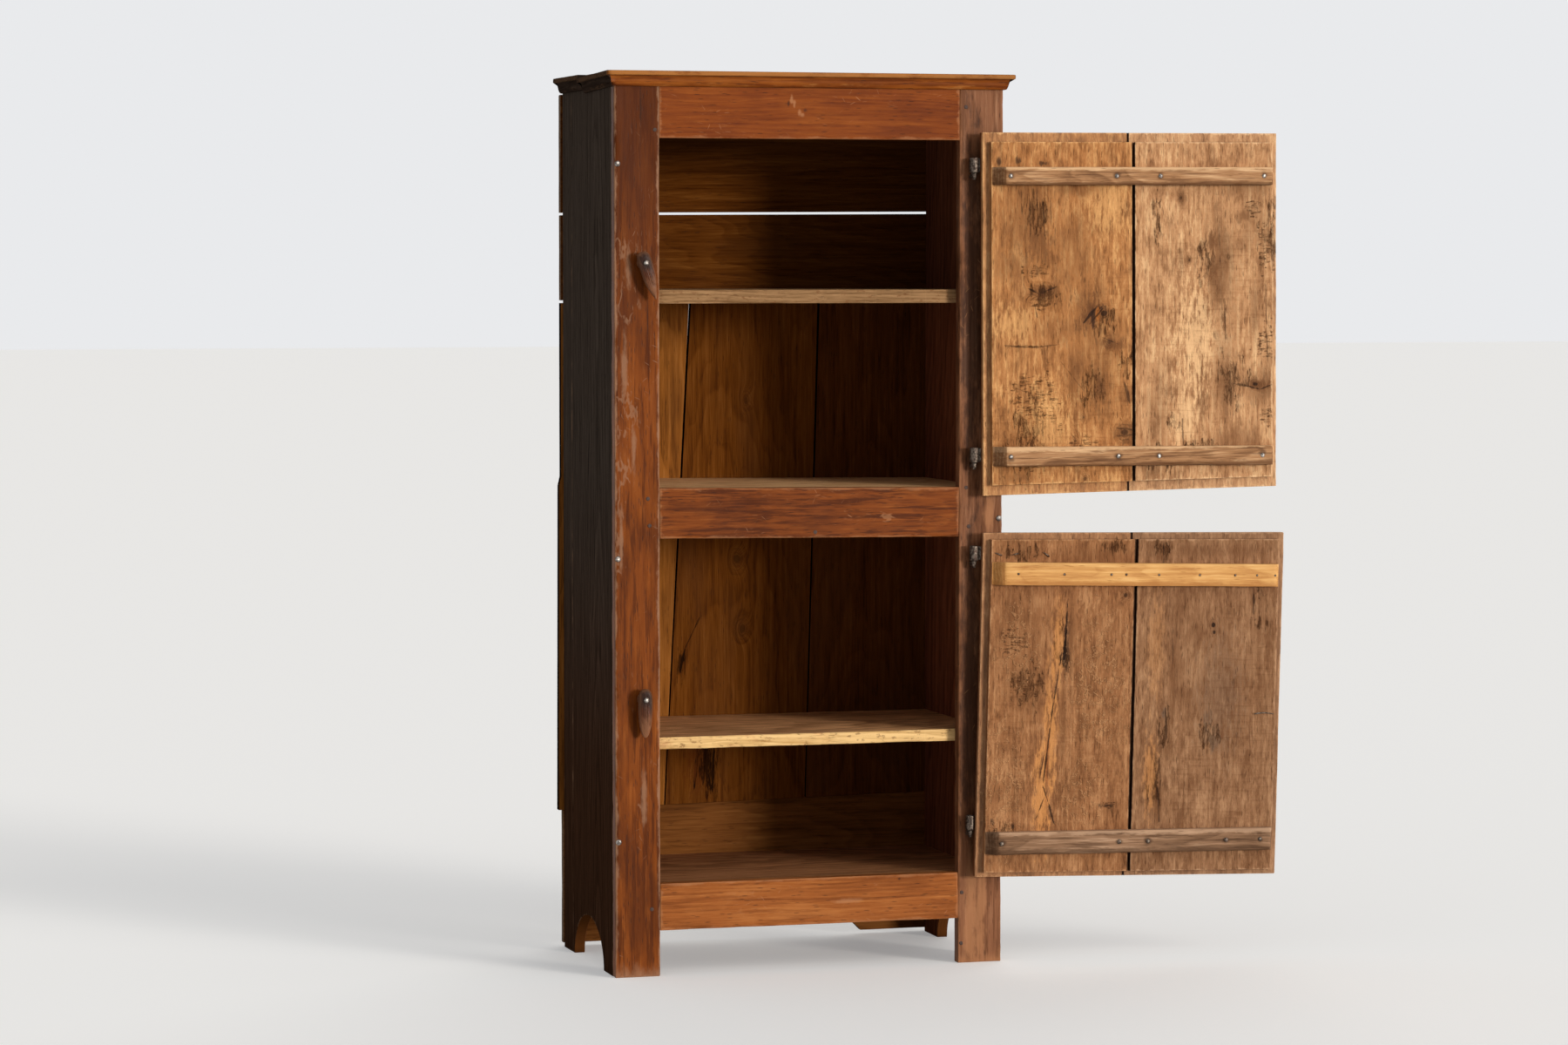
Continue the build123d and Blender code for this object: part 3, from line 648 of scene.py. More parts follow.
left_stile_scrapes = (
    (-0.015, 1.33, 0.03, 0.03), (-0.02, 1.23, 0.03, 0.05), (-0.018, 1.03, 0.03, 0.1),
    (-0.028, 0.9, 0.022, 0.09), (-0.034, 0.78, 0.016, 0.06), (0.008, 0.33, 0.01, 0.075)
)
left_stile_bare = (
    (-0.016, 1.3, 0.006, 0.05), (-0.024, 1.12, 0.006, 0.06), (-0.006, 0.96, 0.005, 0.05),
    (-0.03, 0.8, 0.004, 0.06), (0.012, 0.33, 0.006, 0.06)
)
right_stile_bare = ((0.64, 0.09, 0.016, 0.13), (0.66, 0.1, 0.012, 0.16), (0.672, 0.84, 0.012, 0.05))
left_stile_cracks = ((0.0077, 1.57, 0.002, 0.06), (0.02, 1.2, 0.0014, 0.05), (-0.012, 0.62, 0.0014, 0.05))
# Painted shadow of the open doors on the right stile beside them, with some grime.
door_shadow_and_grime = ((0.638, 1.21, 0.027, 0.38), (0.638, 0.49, 0.027, 0.35))
right_stile_tones = ((0.11, 0.038, 0.014), (0.23, 0.092, 0.042), (0.38, 0.19, 0.1))
left_stile_tones = ((0.062, 0.013, 0.002), (0.185, 0.044, 0.005), (0.31, 0.088, 0.014))
left_stile_scuffed = (0.33, 0.18, 0.105)
# The left stile's pale arrises are made strong: partly wear, partly a painted highlight along its edges.
for name, pith, tones, scuffed, scraped, darker_above, grimed_and_shaded, bare, wear_and_highlight_share, seed in (
    (
        "left_stile", (-0.01, -0.05), left_stile_tones, left_stile_scuffed, left_stile_scrapes, (1.1, 1.5),
        left_stile_cracks, left_stile_bare, 0.7, 11
    ),
    (
        "right_stile", (0.66, 0.06), right_stile_tones, frame_scuffed, (), None, door_shadow_and_grime,
        right_stile_bare, 0.15, 23
    )
):
    low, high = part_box(name)
    mesh = board_mesh(
        name, (low.x, high.x), (low.z, high.z), (low.y, high.y), upright, arris=0.0026, chips=16, seed=seed
    )
    oak = waxed_oak(
        name + " oak", pith, tones, scuffed, foot_worn=True, scraped=scraped, darker_above=darker_above,
        grimed_and_shaded=grimed_and_shaded, bare=bare, wear_and_highlight_share=wear_and_highlight_share
    )
    new_piece(name + "_board", mesh, oak, name)


# ---- Rails ----
# Three boards across the front, tenoned into the stiles and planed level with them.
# The middle one falls a little to the right. Each shows its own run of grain.
opening_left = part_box("left_stile")[1].x
opening_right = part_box("right_stile")[0].x
frame_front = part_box("left_stile")[0].y
frame_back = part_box("left_stile")[1].y
middle_rail_fall = 0.0056

top_rail_scrapes = ((1.585, 0.334, 0.014, 0.01), (1.575, 0.345, 0.01, 0.008))
top_rail_bare = (
    (1.602, 0.292, 0.01, 0.003), (1.59, 0.297, 0.009, 0.003), (1.578, 0.307, 0.008, 0.004),
    (1.573, 0.312, 0.004, 0.005)
)
top_rail_eyes = ((1.592, 0.286, 0.006, 0.003), (1.582, 0.318, 0.005, 0.006))


def lying(across, along, through):
    """For boards that run from left to right in the plane of the front."""
    return along, through, across


def sloping(low, high, name):
    """A rail's underside and top as lines from left to right."""
    if name != "middle_rail":
        return low, high
    fall = middle_rail_fall / 2
    ends = ((opening_left, fall), (opening_right, -fall))
    return tuple(([(x, value + shift) for x, shift in ends] for value in (low + fall, high - fall)))


for name, tones, pith, streaked, scrapes, bare, eyes, seed in (
    (
        "top_rail", ((0.11, 0.02, 0.003), (0.205, 0.045, 0.005), (0.29, 0.077, 0.01)), (1.72, 0.12), 0.35,
        top_rail_scrapes, top_rail_bare, top_rail_eyes, 31
    ),
    (
        "middle_rail", ((0.06, 0.013, 0.003), (0.195, 0.047, 0.007), (0.34, 0.105, 0.02)), (0.86, -0.06),
        0.8, ((0.835, 0.47, 0.01, 0.03),), (), (), 37
    ),
    (
        "bottom_rail", ((0.15, 0.038, 0.007), (0.31, 0.092, 0.019), (0.46, 0.17, 0.045)), (0.02, 0.05), 0.45,
        ((0.14, 0.47, 0.025, 0.03),), ((0.125, 0.4, 0.005, 0.03),), ((0.162, 0.5, 0.003, 0.004),), 41
    )
):
    low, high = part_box(name)
    mesh = board_mesh(
        name, sloping(low.z, high.z, name), (opening_left, opening_right), (low.y, high.y), lying,
        arris=0.002, chips=8, seed=seed
    )
    oak = waxed_oak(name + " oak", pith, tones, scraped=scrapes, streaked=streaked, bare=bare, grimed_and_shaded=eyes)
    new_piece(name + "_board", mesh, oak, name)


# ---- Pegs ----
# Riven oak pegs that pin the tenons, trimmed nearly level with the frame, and three plugs in old
# holes. Each shows as a small dark many-sided end.
peg_radius = 0.0038
peg_proud = 0.0003
peg_shown = 0.006
peg_places = (
    (0.034, 1.544), (0.02, 0.875), (0.023, 0.826), (0.026, 0.124), (0.627, 1.59), (0.634, 0.815),
    (0.622, 0.132), (0.337, 0.809), (0.629, 0.887), (0.621, 0.037)
)


def ring_stack(rings, faces, points):
    """Adds a closed skin through rings of equally many points, first to last, with both ends filled."""
    start = len(points)
    count = len(rings[0])
    points += [tuple(p) for ring in rings for p in ring]
    for row in range(len(rings) - 1):
        for i in range(count):
            j = (i + 1) % count
            here, above = start + row * count, start + (row + 1) * count
            faces.append((here + i, here + j, above + j, above + i))
    for row, turned in ((0, True), (len(rings) - 1, False)):
        first = start + row * count
        centre = len(points)
        points.append(tuple(np.mean(points[first:first + count], axis=0)))
        for i in range(count):
            pair = (first + (i + 1) % count, first + i) if turned else (first + i, first + (i + 1) % count)
            faces.append((*pair, centre))


def stack_mesh(name, stacks, own=lambda points: points[:, (0, 2, 1)]):
    """The mesh of one or more closed ring stacks; own gives each point's place in the piece's own measure."""
    points, faces = [], []
    for rings in stacks:
        ring_stack(rings, faces, points)
    mesh = bpy.data.meshes.new(name)
    mesh.from_pydata(points, [], faces)
    mesh.update()
    out = bmesh.new()
    out.from_mesh(mesh)
    bmesh.ops.recalc_face_normals(out, faces=out.faces)
    out.to_mesh(mesh)
    out.free()
    board = own(np.array(points))
    attribute = mesh.attributes.new("timber", "FLOAT_VECTOR", "POINT")
    attribute.data.foreach_set("vector", np.asarray(board, np.float32).ravel())
    mesh.polygons.foreach_set("use_smooth", [True] * len(mesh.polygons))
    return mesh


def rough_ring(centre, radius, side, up, count, draw, unevenness=0.05):
    """A ring of points about a centre, in the plane of two directions, a little out of true."""
    centre, side, up = np.array(centre), np.array(side, float), np.array(up, float)
    turns = [2 * math.pi * (i + draw.uniform(-0.15, 0.15)) / count for i in range(count)]
    return [
        centre + radius * draw.uniform(1 - unevenness, 1 + unevenness) * (
            side * math.cos(t) + up * math.sin(t)
        )
        for t in turns
    ]


def worn_wood(name, dark, pale):
    """Small plain wooden pieces: two tones run together by grain, with fine relief."""
    made = new_material(name)
    places = oak_places()[1]
    grain = use_group(oak_group, places=places, ring_share=0.2)
    blotch = noise(places, 300, 300, 3.0, 0.6)
    share = times_plus(grain["Figure"], 0.6, times(blotch, 0.6))
    colour = mix(step_up(share, 0.3, 0.85), dark, pale)
    rough = times_plus(blotch, 0.2, 0.5)
    return close_wood(made, colour, rough, 0.25, ((share, 0.0003), (grain["Pores"], -0.0003)))


peg_draw = random.Random(7)
peg_stacks = []
for x, z in peg_places:
    count = peg_draw.choice((8, 9, 10))
    radii = ((1.0, peg_shown), (1.0, -peg_proud * 0.3), (0.8, -peg_proud), (0.4, -peg_proud * 0.8))
    ring = rough_ring((0, 0, 0), peg_radius, (1, 0, 0), (0, 0, 1), count, peg_draw, 0.07)
    peg_stacks.append([[p * share + (x, frame_front + depth, z) for p in ring] for share, depth in radii])
peg_wood = worn_wood("peg oak", (0.03, 0.016, 0.012), (0.085, 0.045, 0.032))
new_piece("frame_peg_ends", stack_mesh("pegs", peg_stacks), peg_wood, "frame_pegs")


# ---- Nails of the frame ----
# Dome-headed wrought nails that hold the frame to the edges of the sides, rubbed bright on top.
frame_nail_radius = 0.0055
frame_nail_rise = 0.0026
frame_nail_places = (
    (-0.036, 0.249), (-0.036, 0.766), (-0.036, 1.482), (0.693, 0.249), (0.693, 0.829), (0.693, 1.482)
)


def nail_stack(x, z, face, outward, radius, rise, draw, shank=0.006):
    """One nail: a hammered head with flats on it and the start of its shank, along Y."""
    count = 12
    tilt = (draw.uniform(-0.12, 0.12), draw.uniform(-0.12, 0.12))
    ring = rough_ring((0, 0, 0), 1.0, (1, 0, 0), (0, 0, 1), count, draw, 0.06)
    steps = (
        (0.38, -shank), (0.38, -0.0001), (0.97, -0.0001), (1.0, rise * 0.16), (0.9, rise * 0.5),
        (0.66, rise * 0.82), (0.32, rise * 0.98)
    )
    rings = []
    for share, height in steps:
        rings.append([])
        for p in ring:
            dent = draw.uniform(-0.06, 0.06) * rise if height > 0 else 0
            lean = (p[0] * tilt[0] + p[2] * tilt[1]) * radius * share if height > 0 else 0
            spot = (
                x + p[0] * share * radius, face + outward * (height + dent + lean), z + p[2] * share * radius
            )
            rings[-1].append(np.array(spot))
    return rings


def iron(name, dark, bright, roughness, rusted):
    """Wrought iron: hammered, dark in its hollows, rubbed bright on what stands up, with a little rust."""
    made = new_material(name)
    spots = add_node("ShaderNodeTexCoord").outputs["Object"]
    hammered = noise(spots, 240, 240, 2.0, 0.5)
    pitted = noise(spots, 1500, 1500, 2.0, 0.6)
    blotch = noise(spots, 90, 90, 3.0, 0.6)
    colour = mix(step_up(hammered, 0.35, 0.65), dark, bright)
    rusty = times(step_up(blotch, 0.5, 0.72), rusted)
    colour = mix(rusty, colour, (0.09, 0.035, 0.018))
    rough = times_plus(pitted, 0.25, times_plus(rusty, 0.3, roughness - 0.12))
    metallic = times(minus(1.0, rusty), 0.9)
    return close_material(made, {
        "Base Color": colour, "Roughness": rough, "Metallic": metallic,
        "Normal": bump(((hammered, 0.0005), (pitted, 8e-5)))
    })


bright_iron = iron("rubbed iron", (0.12, 0.105, 0.095), (0.36, 0.33, 0.3), 0.42, rusted=0.3)
dark_iron = iron("dark iron", (0.035, 0.024, 0.018), (0.165, 0.13, 0.102), 0.5, rusted=0.5)
nail_draw = random.Random(19)
stacks = [
    nail_stack(x, z, frame_front, -1, frame_nail_radius, frame_nail_rise, nail_draw)
    for x, z in frame_nail_places
]
new_piece("frame_nail_heads", stack_mesh("frame nails", stacks), bright_iron, "frame_nails")


# ---- Sides ----
# On each side a wide oak board stands behind the frame, with an arch sawn out for feet, and a narrow
# strip behind it. They are stained nearly black outside and left paler in the saw cut.
arch_middle = 0.195
arch_half = 0.115
arch_rise = 0.087
arch_steps = 22


def arch_line():
    """The sawn foot of a side board as (depth, height) points, closest where it is steep."""
    turns = [math.pi * i / arch_steps for i in range(arch_steps + 1)]
    return [(arch_middle - arch_half * math.cos(t), arch_rise * math.sin(t)) for t in turns]


def sideways(across, along, through):
    """For boards that stand in the plane of a side."""
    return through, across, along


def facing(axis):
    """How squarely a face looks along an axis, from -1 to 1."""
    return parts_of(add_node("ShaderNodeNewGeometry").outputs["True Normal"])[axis]


cupboard_middle = (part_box("left_side_board")[0].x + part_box("right_side_board")[1].x) / 2
side_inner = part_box("right_side_board")[0].x - cupboard_middle
side_within = ((0.1, 0.032, 0.014), (0.27, 0.095, 0.045))


def side_oak(name, pith, outside, hollow=1.0):
    """Dark stained oak outside, browner towards the floor, and bare where it was sawn or rubs."""
    made = new_material(name)
    _, places, shift = oak_places()
    grain = oak_grain(places, shift, pith, ring_width=0.006, ring_share=0.3, wander=0.04)
    colour = toned(grain, outside, (0.15, 0.6), (0.55, 1.0))
    low_down = step_up(object_part("Z"), 1.0, 0.25)
    colour = mix(low_down, colour, mix(1.0, colour, (0.82, 0.5, 0.34), "MULTIPLY"))
    colour = mix(times(grain["Pores"], 0.6), colour, (0.012, 0.008, 0.006))
    ragged = noise(places, 60, 16, 4.0, 0.65)
    worn = step_up(times_plus(arris_of(), 0.6, ragged), 0.98, 1.2)
    colour = mix(times(worn, 0.5), colour, (0.3, 0.17, 0.1))
    from_middle = unsigned(minus(object_part("X"), cupboard_middle))
    inside = times(step_up(from_middle, side_inner + 0.004, side_inner + 0.002), hollow)
    within = mix(step_up(grain["Figure"], 0.1, 0.9), side_within[0], side_within[1])
    colour = mix(inside, colour, within)
    cut = step_up(unsigned(facing("X")), 0.5, 0.25)
    arch = step_up(object_part("Z"), 0.11, 0.1)
    fresh = mix(times(ragged, 0.6), (0.115, 0.038, 0.009), (0.06, 0.02, 0.006))
    colour = mix(times(cut, arch), colour, fresh)
    relief = ((grain["Relief"], 0.0004), (grain["Pores"], -0.0002), (grain["Cloud"], 0.001))
    return close_wood(made, colour, times_plus(ragged, 0.2, 0.6), 0.0, relief)


side_tones = ((0.024, 0.017, 0.013), (0.06, 0.044, 0.034), (0.112, 0.084, 0.066))
side_colour = side_oak("side oak", (0.12, 0.05), side_tones)
for side, seed in (("left", 53), ("right", 59)):
    for part, foot, more in (("board", arch_line(), 0), ("strip", None, 1)):
        node = f"{side}_side_{part}"
        low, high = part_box(node)
        mesh = board_mesh(
            node, (low.y, high.y), (foot or low.z, high.z), (low.x, high.x), sideways, arris=0.0014,
            step=0.016, waves=0.0006, seed=seed + more
        )
        new_piece(node + "_timber", mesh, side_colour, node)


# ---- Shelves and bottom board ----
# Four boards housed in the sides: rough oak and elm, grey brown on top where things have stood.
# The lower shelf has a pale, newly split front edge.
def level(across, along, through):
    """For boards that lie flat and run from left to right."""
    return along, across, through


def shelf_wood(name, pith, top, edge):
    """A shelf: its top and its front edge in tones of their own, with stains and knife marks on top."""
    made = new_material(name)
    own, places, shift = oak_places()
    grain = oak_grain(places, shift, pith, ring_width=0.007, ring_share=0.3, wander=0.09)
    above = mix(step_up(grain["Figure"], 0.2, 0.85), top[0], top[1])
    stains = times(step_up(noise(own, 14, 8, 4.0, 0.6), 0.48, 0.72), 0.5)
    above = mix(stains, above, top[0])
    front = mix(step_up(grain["Figure"], 0.1, 0.8), edge[0], edge[1])
    ragged = noise(places, 60, 30, 4.0, 0.65)
    flecks = step_up(noise(places, 150, 60, 5.0, 0.7), 0.56, 0.64)
    front = mix(times(flecks, 0.6), front, (0.15, 0.055, 0.018))
    reach = times_plus(ragged, 0.02, minus(object_part("Y"), frame_back))
    colour = mix(step_up(reach, 0.018, 0.012), above, front)
    colour = mix(times(grain["Pores"], 0.55), colour, mix(0.7, colour, (0.03, 0.014, 0.008)))
    scratches = use_group(
        dashes_group, places=own, per_metre=22.0, length=0.48, width=0.02, spread=3.0, share=0.5
    )["Mask"]
    colour = mix(times(scratches, 0.3), colour, edge[1])
    relief = ((grain["Relief"], 0.0004), (grain["Pores"], -0.0002), (scratches, -0.0002))
    return close_wood(made, colour, times_plus(ragged, 0.2, 0.6), 0.06, relief)


def shelf_sides(low, high, notches):
    """The shelf's front line, with what has been knocked or split off it, and its straight back."""
    draw = random.Random(notches)
    line = [(low.x, low.y)]
    x = low.x
    while notches and x < high.x - 0.04:
        x += draw.uniform(0.012, 0.05)
        line.append((x, low.y + draw.choice((0, 0, 0.0008, 0.0018, 0.003))))
    return line + [(high.x, low.y)], high.y


for name, slot, top, edge, pith, notches in (
    (
        "upper_shelf", "shelf_oak", ((0.22, 0.115, 0.05), (0.42, 0.24, 0.115)),
        ((0.13, 0.062, 0.022), (0.33, 0.185, 0.085)), (0.2, -0.09), 3
    ),
    (
        "middle_shelf", "shelf_oak", ((0.5, 0.27, 0.12), (0.88, 0.56, 0.28)),
        ((0.24, 0.12, 0.05), (0.4, 0.22, 0.1)), (0.1, -0.07), 0
    ),
    (
        "lower_shelf", "shelf_oak", ((0.24, 0.105, 0.04), (0.82, 0.44, 0.2)),
        ((0.48, 0.27, 0.09), (0.84, 0.56, 0.25)), (0.15, -0.08), 5
    ),
    (
        "bottom_board", "bottom_oak", ((0.15, 0.062, 0.024), (0.48, 0.215, 0.092)),
        ((0.14, 0.06, 0.022), (0.28, 0.14, 0.06)), (0.3, -0.07), 0
    )
):
    low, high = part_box(name)
    fall = middle_rail_fall if name == "middle_shelf" else 0.0
    middle = (opening_left + opening_right) / 2

    def tilted(across, along, through):
        drop = fall * (along - middle) / (opening_right - opening_left)
        return along, across, through - drop

    reach = fall * (high.x - middle) / (opening_right - opening_left)
    mesh = board_mesh(
        name, shelf_sides(low, high, notches), (low.x, high.x), (low.z + reach, high.z - reach), tilted,
        arris=0.0018, chips=22 if notches else 6, seed=61 + notches
    )
    new_piece(name + "_timber", mesh, shelf_wood(name + " wood", pith, top, edge), name)


# ---- Top board ----
# One board nailed over the top of the carcass, behind the cornice. It is rough and grey with dust.
low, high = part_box("top_board")
mesh = board_mesh(
    "top_board", (low.y, high.y), (low.x, high.x), (low.z, high.z), level, arris=0.001, waves=0.0008, seed=71
)
top_tones = ((0.045, 0.03, 0.021), (0.105, 0.073, 0.052), (0.17, 0.125, 0.095))
new_piece(
    "top_board_timber", mesh, side_oak("top oak", (0.2, -0.05), top_tones, hollow=0.0), "top_board",
)


# ---- Back boards ----
# Two boards across the top, three leaning upright planks with open joints, and a footed board below,
# all nailed on from behind. Sawn oak, golden brown inside where it was never stained.
plank_low_left = 0.262
plank_low_right = 0.276
plank_foot_line = [(-0.042, plank_low_left), (0.699, plank_low_right)]
seams = ((0.207, 0.155), (0.463, 0.436))


def seam_line(number, side):
    """A leaning joint between two upright planks, a little wider at its top, as (height, across) points."""
    top, low = seams[number]
    return [(plank_low_left, low + side * 0.0011), (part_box("back_plank_left")[1].z, top + side * 0.002)]


back_dust = ((0.085, 0.052, 0.033), (0.25, 0.17, 0.115))


def stained(colour, own, ragged, stains):
    """A colour with stains on it, each (across, along, half width, half height, strength, colour)."""
    for *zone, strength, tint in stains:
        colour = mix(times(stain_mask(own, ragged, zone, 4.5), strength), colour, tint)
    return colour


back_stain = (0.1, 0.035, 0.01)


def back_oak(name, pith, tones, knots=(), cracks=(), stains=(), upright_board=0.0):
    """Sawn oak that has gone golden brown inside, with knots and drying cracks in it; the side faces of
    upright planks are painted near black as shade in their open seams.
    """
    made = new_material(name)
    own, places, shift = oak_places()
    ragged = noise(places, 55, 26, 4.0, 0.65)
    frayed = noise(places, 170, 30, 6.0, 0.72)
    pull, dark_spots, halo = knots_and_cracks(own, ragged, knots, cracks)
    grain = oak_grain(places, shift, pith, ring_width=0.0055, ring_share=0.22, wander=0.07, pull=pull)
    colour = toned(grain, tones, (0.15, 0.6), (0.5, 1.0))
    colour = mix(times(step_up(grain["Cloud"], 0.42, 0.75), 0.55), colour, back_stain)
    colour = mix(times(grain["Pores"], 0.5), colour, (0.028, 0.012, 0.006))
    colour = mix(times(halo, 0.5), colour, back_stain)
    colour = mix(dark_spots, colour, (0.01, 0.005, 0.003))
    colour = stained(colour, own, frayed, stains)
    # Painted shade: the side faces of upright planks, inside their open seams, are near black.
    sideways = step_up(unsigned(facing("X")), 0.5, 0.8)
    colour = mix(times(sideways, upright_board), colour, (0.006, 0.003, 0.002))
    dusty = mix(step_up(grain["Figure"], 0.1, 0.9), back_dust[0], back_dust[1])
    dusty = mix(times(step_up(grain["Cloud"], 0.45, 0.65), 0.5), dusty, back_dust[0])
    dusty = mix(most(dark_spots, times(grain["Pores"], 0.5)), dusty, (0.02, 0.012, 0.008))
    outward = times(sideways, minus(1.0, upright_board))
    outward = most(outward, step_up(facing("Y"), 0.5, 0.8))
    colour = mix(outward, colour, dusty)
    saw = noise(places, 40, 420, 1.0, 0.4)
    relief = ((grain["Relief"], 0.0005), (grain["Pores"], -0.0002), (saw, 0.00012), (dark_spots, -0.0012))
    return close_wood(made, colour, times_plus(ragged, 0.2, 0.62), 0.0, relief)


def make_knot_group():
    """One knot: its dark heart, the halo about it, and how it pulls the year rings round itself."""
    given, result = new_group(
        "knot",
        {"Places": (0, 0, 0), "Ragged": 0.5, "Across": 0.0, "Along": 0.0, "Size": 0.01, "Stretch": 1.6},
        ("Heart", "Halo", "Pull", "Rings")
    )
    part = parts_of(given["Places"])
    across = minus(part["X"], given["Across"])
    along = over(minus(part["Y"], given["Along"]), given["Stretch"])
    squared = times_plus(across, across, times(along, along))
    away = over(calc("SQRT", squared), given["Size"])
    uneven = times_plus(minus(given["Ragged"], 0.5), 1.8, away)
    link(step_up(uneven, 1.05, 0.6), result["Heart"])
    link(step_up(uneven, 3.2, 0.9), result["Halo"])
    turn = unsigned(minus(calc("FRACT", times(uneven, 1.2)), 0.5))
    near = times(step_up(uneven, 3.6, 1.8), step_up(given["Ragged"], 0.4, 0.55))
    link(times(step_up(turn, 0.2, 0.08), near), result["Rings"])
    fade = calc("POWER", 2.718, times(times(away, away), -0.16))
    link(times(fade, times(given["Size"], 1.7)), result["Pull"])
    return bench["tree"]


def make_crack_group():
    """One crack or dark line from a first place to a second, thinning out at both ends."""
    given, result = new_group(
        "crack",
        {"Places": (0, 0, 0), "Ragged": 0.5, "First": (0, 0, 0), "Second": (0, 1, 0), "Width": 0.001}
    )
    run = vector_calc("SUBTRACT", given["Second"], given["First"])
    flat = vector_calc("MULTIPLY", given["Places"], (1, 1, 0))
    out = vector_calc("SUBTRACT", flat, given["First"])
    length_squared = vector_calc("DOT_PRODUCT", run, run, output="Value")
    share = over(vector_calc("DOT_PRODUCT", out, run, output="Value"), length_squared)
    nearest = scaled_by(run, calc("MINIMUM", most(share, 0.0), 1.0))
    aside = vector_calc("SUBTRACT", out, nearest)
    away = vector_calc("LENGTH", aside, output="Value")
    swing = times_plus(given["Width"], 2.0, 0.005)
    away = times_plus(minus(given["Ragged"], 0.5), swing, away)
    away = unsigned(away)
    taper = times(share, minus(1.0, share))
    taper = times_plus(calc("SQRT", most(taper, 0.0)), 1.8, 0.1)
    limit = times(given["Width"], taper)
    link(step_up(over(away, limit), 1.1, 0.5), result["Mask"])
    return bench["tree"]


knot_group = make_knot_group()
crack_group = make_crack_group()


def knots_and_cracks(own, ragged, knots, cracks):
    """The pull on the year rings, the dark spots and the halos of a board's knots and cracks.

    knots: (across, along, size, stretch, darkness); cracks: (across, along, across, along, width, darkness).
    """
    pull, dark, halo = 0.0, 0.0, 0.0
    for across, along, size, stretch, darkness in knots:
        knot = use_group(
            knot_group, places=own, ragged=ragged, across=across, along=along, size=size, stretch=stretch
        )
        pull = plus(pull, knot["Pull"])
        dark = most(dark, times(knot["Heart"], darkness))
        dark = most(dark, times(knot["Rings"], darkness * 0.6))
        halo = most(halo, times(knot["Halo"], darkness))
    for x1, z1, x2, z2, width, darkness in cracks:
        crack = use_group(
            crack_group, places=own, ragged=ragged, first=(x1, z1, 0), second=(x2, z2, 0), width=width
        )
        dark = most(dark, times(crack["Mask"], darkness))
    return pull, dark, halo


golden = ((0.05, 0.013, 0.002), (0.105, 0.032, 0.005), (0.18, 0.066, 0.012))
plank_golden = ((0.06, 0.016, 0.003), (0.135, 0.042, 0.006), (0.22, 0.08, 0.016))
low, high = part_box("back_top_board")
gap_line = [(-0.046, 1.3975), (0.703, 1.402)]
mesh = board_mesh(
    "back_top_board", (gap_line, high.z), (low.x, high.x), (low.y, high.y), lying, step=0.016, seed=81
)
new_piece(
    "back_top_timber", mesh, back_oak("back top oak", (1.7, -0.04), golden), "back_top_board"
)
low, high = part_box("back_second_board")
under_line = [(-0.046, 1.393), (0.703, 1.3975)]
mesh = board_mesh(
    "back_second_board", (low.z, under_line), (low.x, high.x), (low.y, high.y), lying, step=0.016, seed=83
)
smudges = (
    (1.345, 0.05, 0.016, 0.04, 0.75, (0.022, 0.009, 0.004)),
    (1.325, 0.085, 0.012, 0.05, 0.5, (0.03, 0.012, 0.005))
)
second_oak = back_oak("back second oak", (1.1, -0.05), golden, stains=smudges)
new_piece("back_second_timber", mesh, second_oak, "back_second_board")

low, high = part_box("back_plank_left")
outer_line = [(plank_low_left, -0.0524), (0.891, -0.05), (0.895, -0.046), (high.z, -0.046)]
# The left plank's tones carry painted light and the right plank's carry painted shade, from the lamp through
# the opening; both are the same golden oak.
lit_left_golden = ((0.12, 0.04, 0.008), (0.28, 0.1, 0.018), (0.43, 0.18, 0.045))
shaded_right_golden = ((0.044, 0.012, 0.003), (0.1, 0.03, 0.006), (0.165, 0.058, 0.014))
dark_crack = (0.014, 0.005, 0.002)
red_crack = (0.1, 0.026, 0.005)
planks = (
    (
        "back_plank_left", (outer_line, seam_line(0, -1)), (0.02, -0.03), lit_left_golden, (),
        ((0.135, 0.7, 0.158, 0.86, 0.0009, 0.6),), ()
    ),
    (
        "back_plank_middle", (seam_line(0, 1), seam_line(1, -1)), (0.33, 0.04), plank_golden,
        ((0.318, 1.04, 0.005, 1.8, 0.3), (0.3, 0.735, 0.007, 1.5, 0.5), (0.31, 0.6, 0.007, 1.4, 0.5)),
        (
            (0.196, 0.565, 0.226, 0.625, 0.001, 0.7), (0.186, 0.52, 0.196, 0.565, 0.0022, 0.9),
            (0.214, 0.29, 0.222, 0.395, 0.0032, 0.95), (0.232, 0.3, 0.236, 0.41, 0.0026, 0.95),
            (0.25, 0.28, 0.254, 0.38, 0.0028, 0.9)
        ),
        (
            (0.226, 0.345, 0.026, 0.07, 0.8, red_crack), (0.24, 0.35, 0.014, 0.07, 0.9, dark_crack),
            (0.252, 0.33, 0.01, 0.06, 0.8, dark_crack), (0.188, 0.535, 0.009, 0.035, 0.8, dark_crack)
        )
    ),
    ("back_plank_right", (seam_line(1, 1), 0.703), (0.6, -0.04), shaded_right_golden, (), (), ())
)
for name, sides, pith, tones, knots, cracks, stains in planks:
    mesh = board_mesh(
        name, sides, (plank_foot_line, high.z), (low.y, high.y), upright, arris=0.0005, step=0.018, seed=87
    )
    oak = back_oak(name + " oak", pith, tones, knots=knots, cracks=cracks, stains=stains, upright_board=1.0)
    new_piece(name + "_timber", mesh, oak, name)

low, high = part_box("back_bottom_board")
foot_cut = [(low.x, low.z), (0.108, low.z), (0.16, 0.06), (0.497, 0.06), (0.549, low.z), (high.x, low.z)]
top_line = [(x, z - 0.0004) for x, z in plank_foot_line]


def turn_grain(mesh):
    """Lets the grain of a board that was sawn to its outline run from left to right."""
    timber = mesh.attributes["timber"].data
    own = np.zeros(3 * len(timber), np.float32)
    timber.foreach_get("vector", own)
    timber.foreach_set("vector", own.reshape(-1, 3)[:, (1, 0, 2)].ravel())


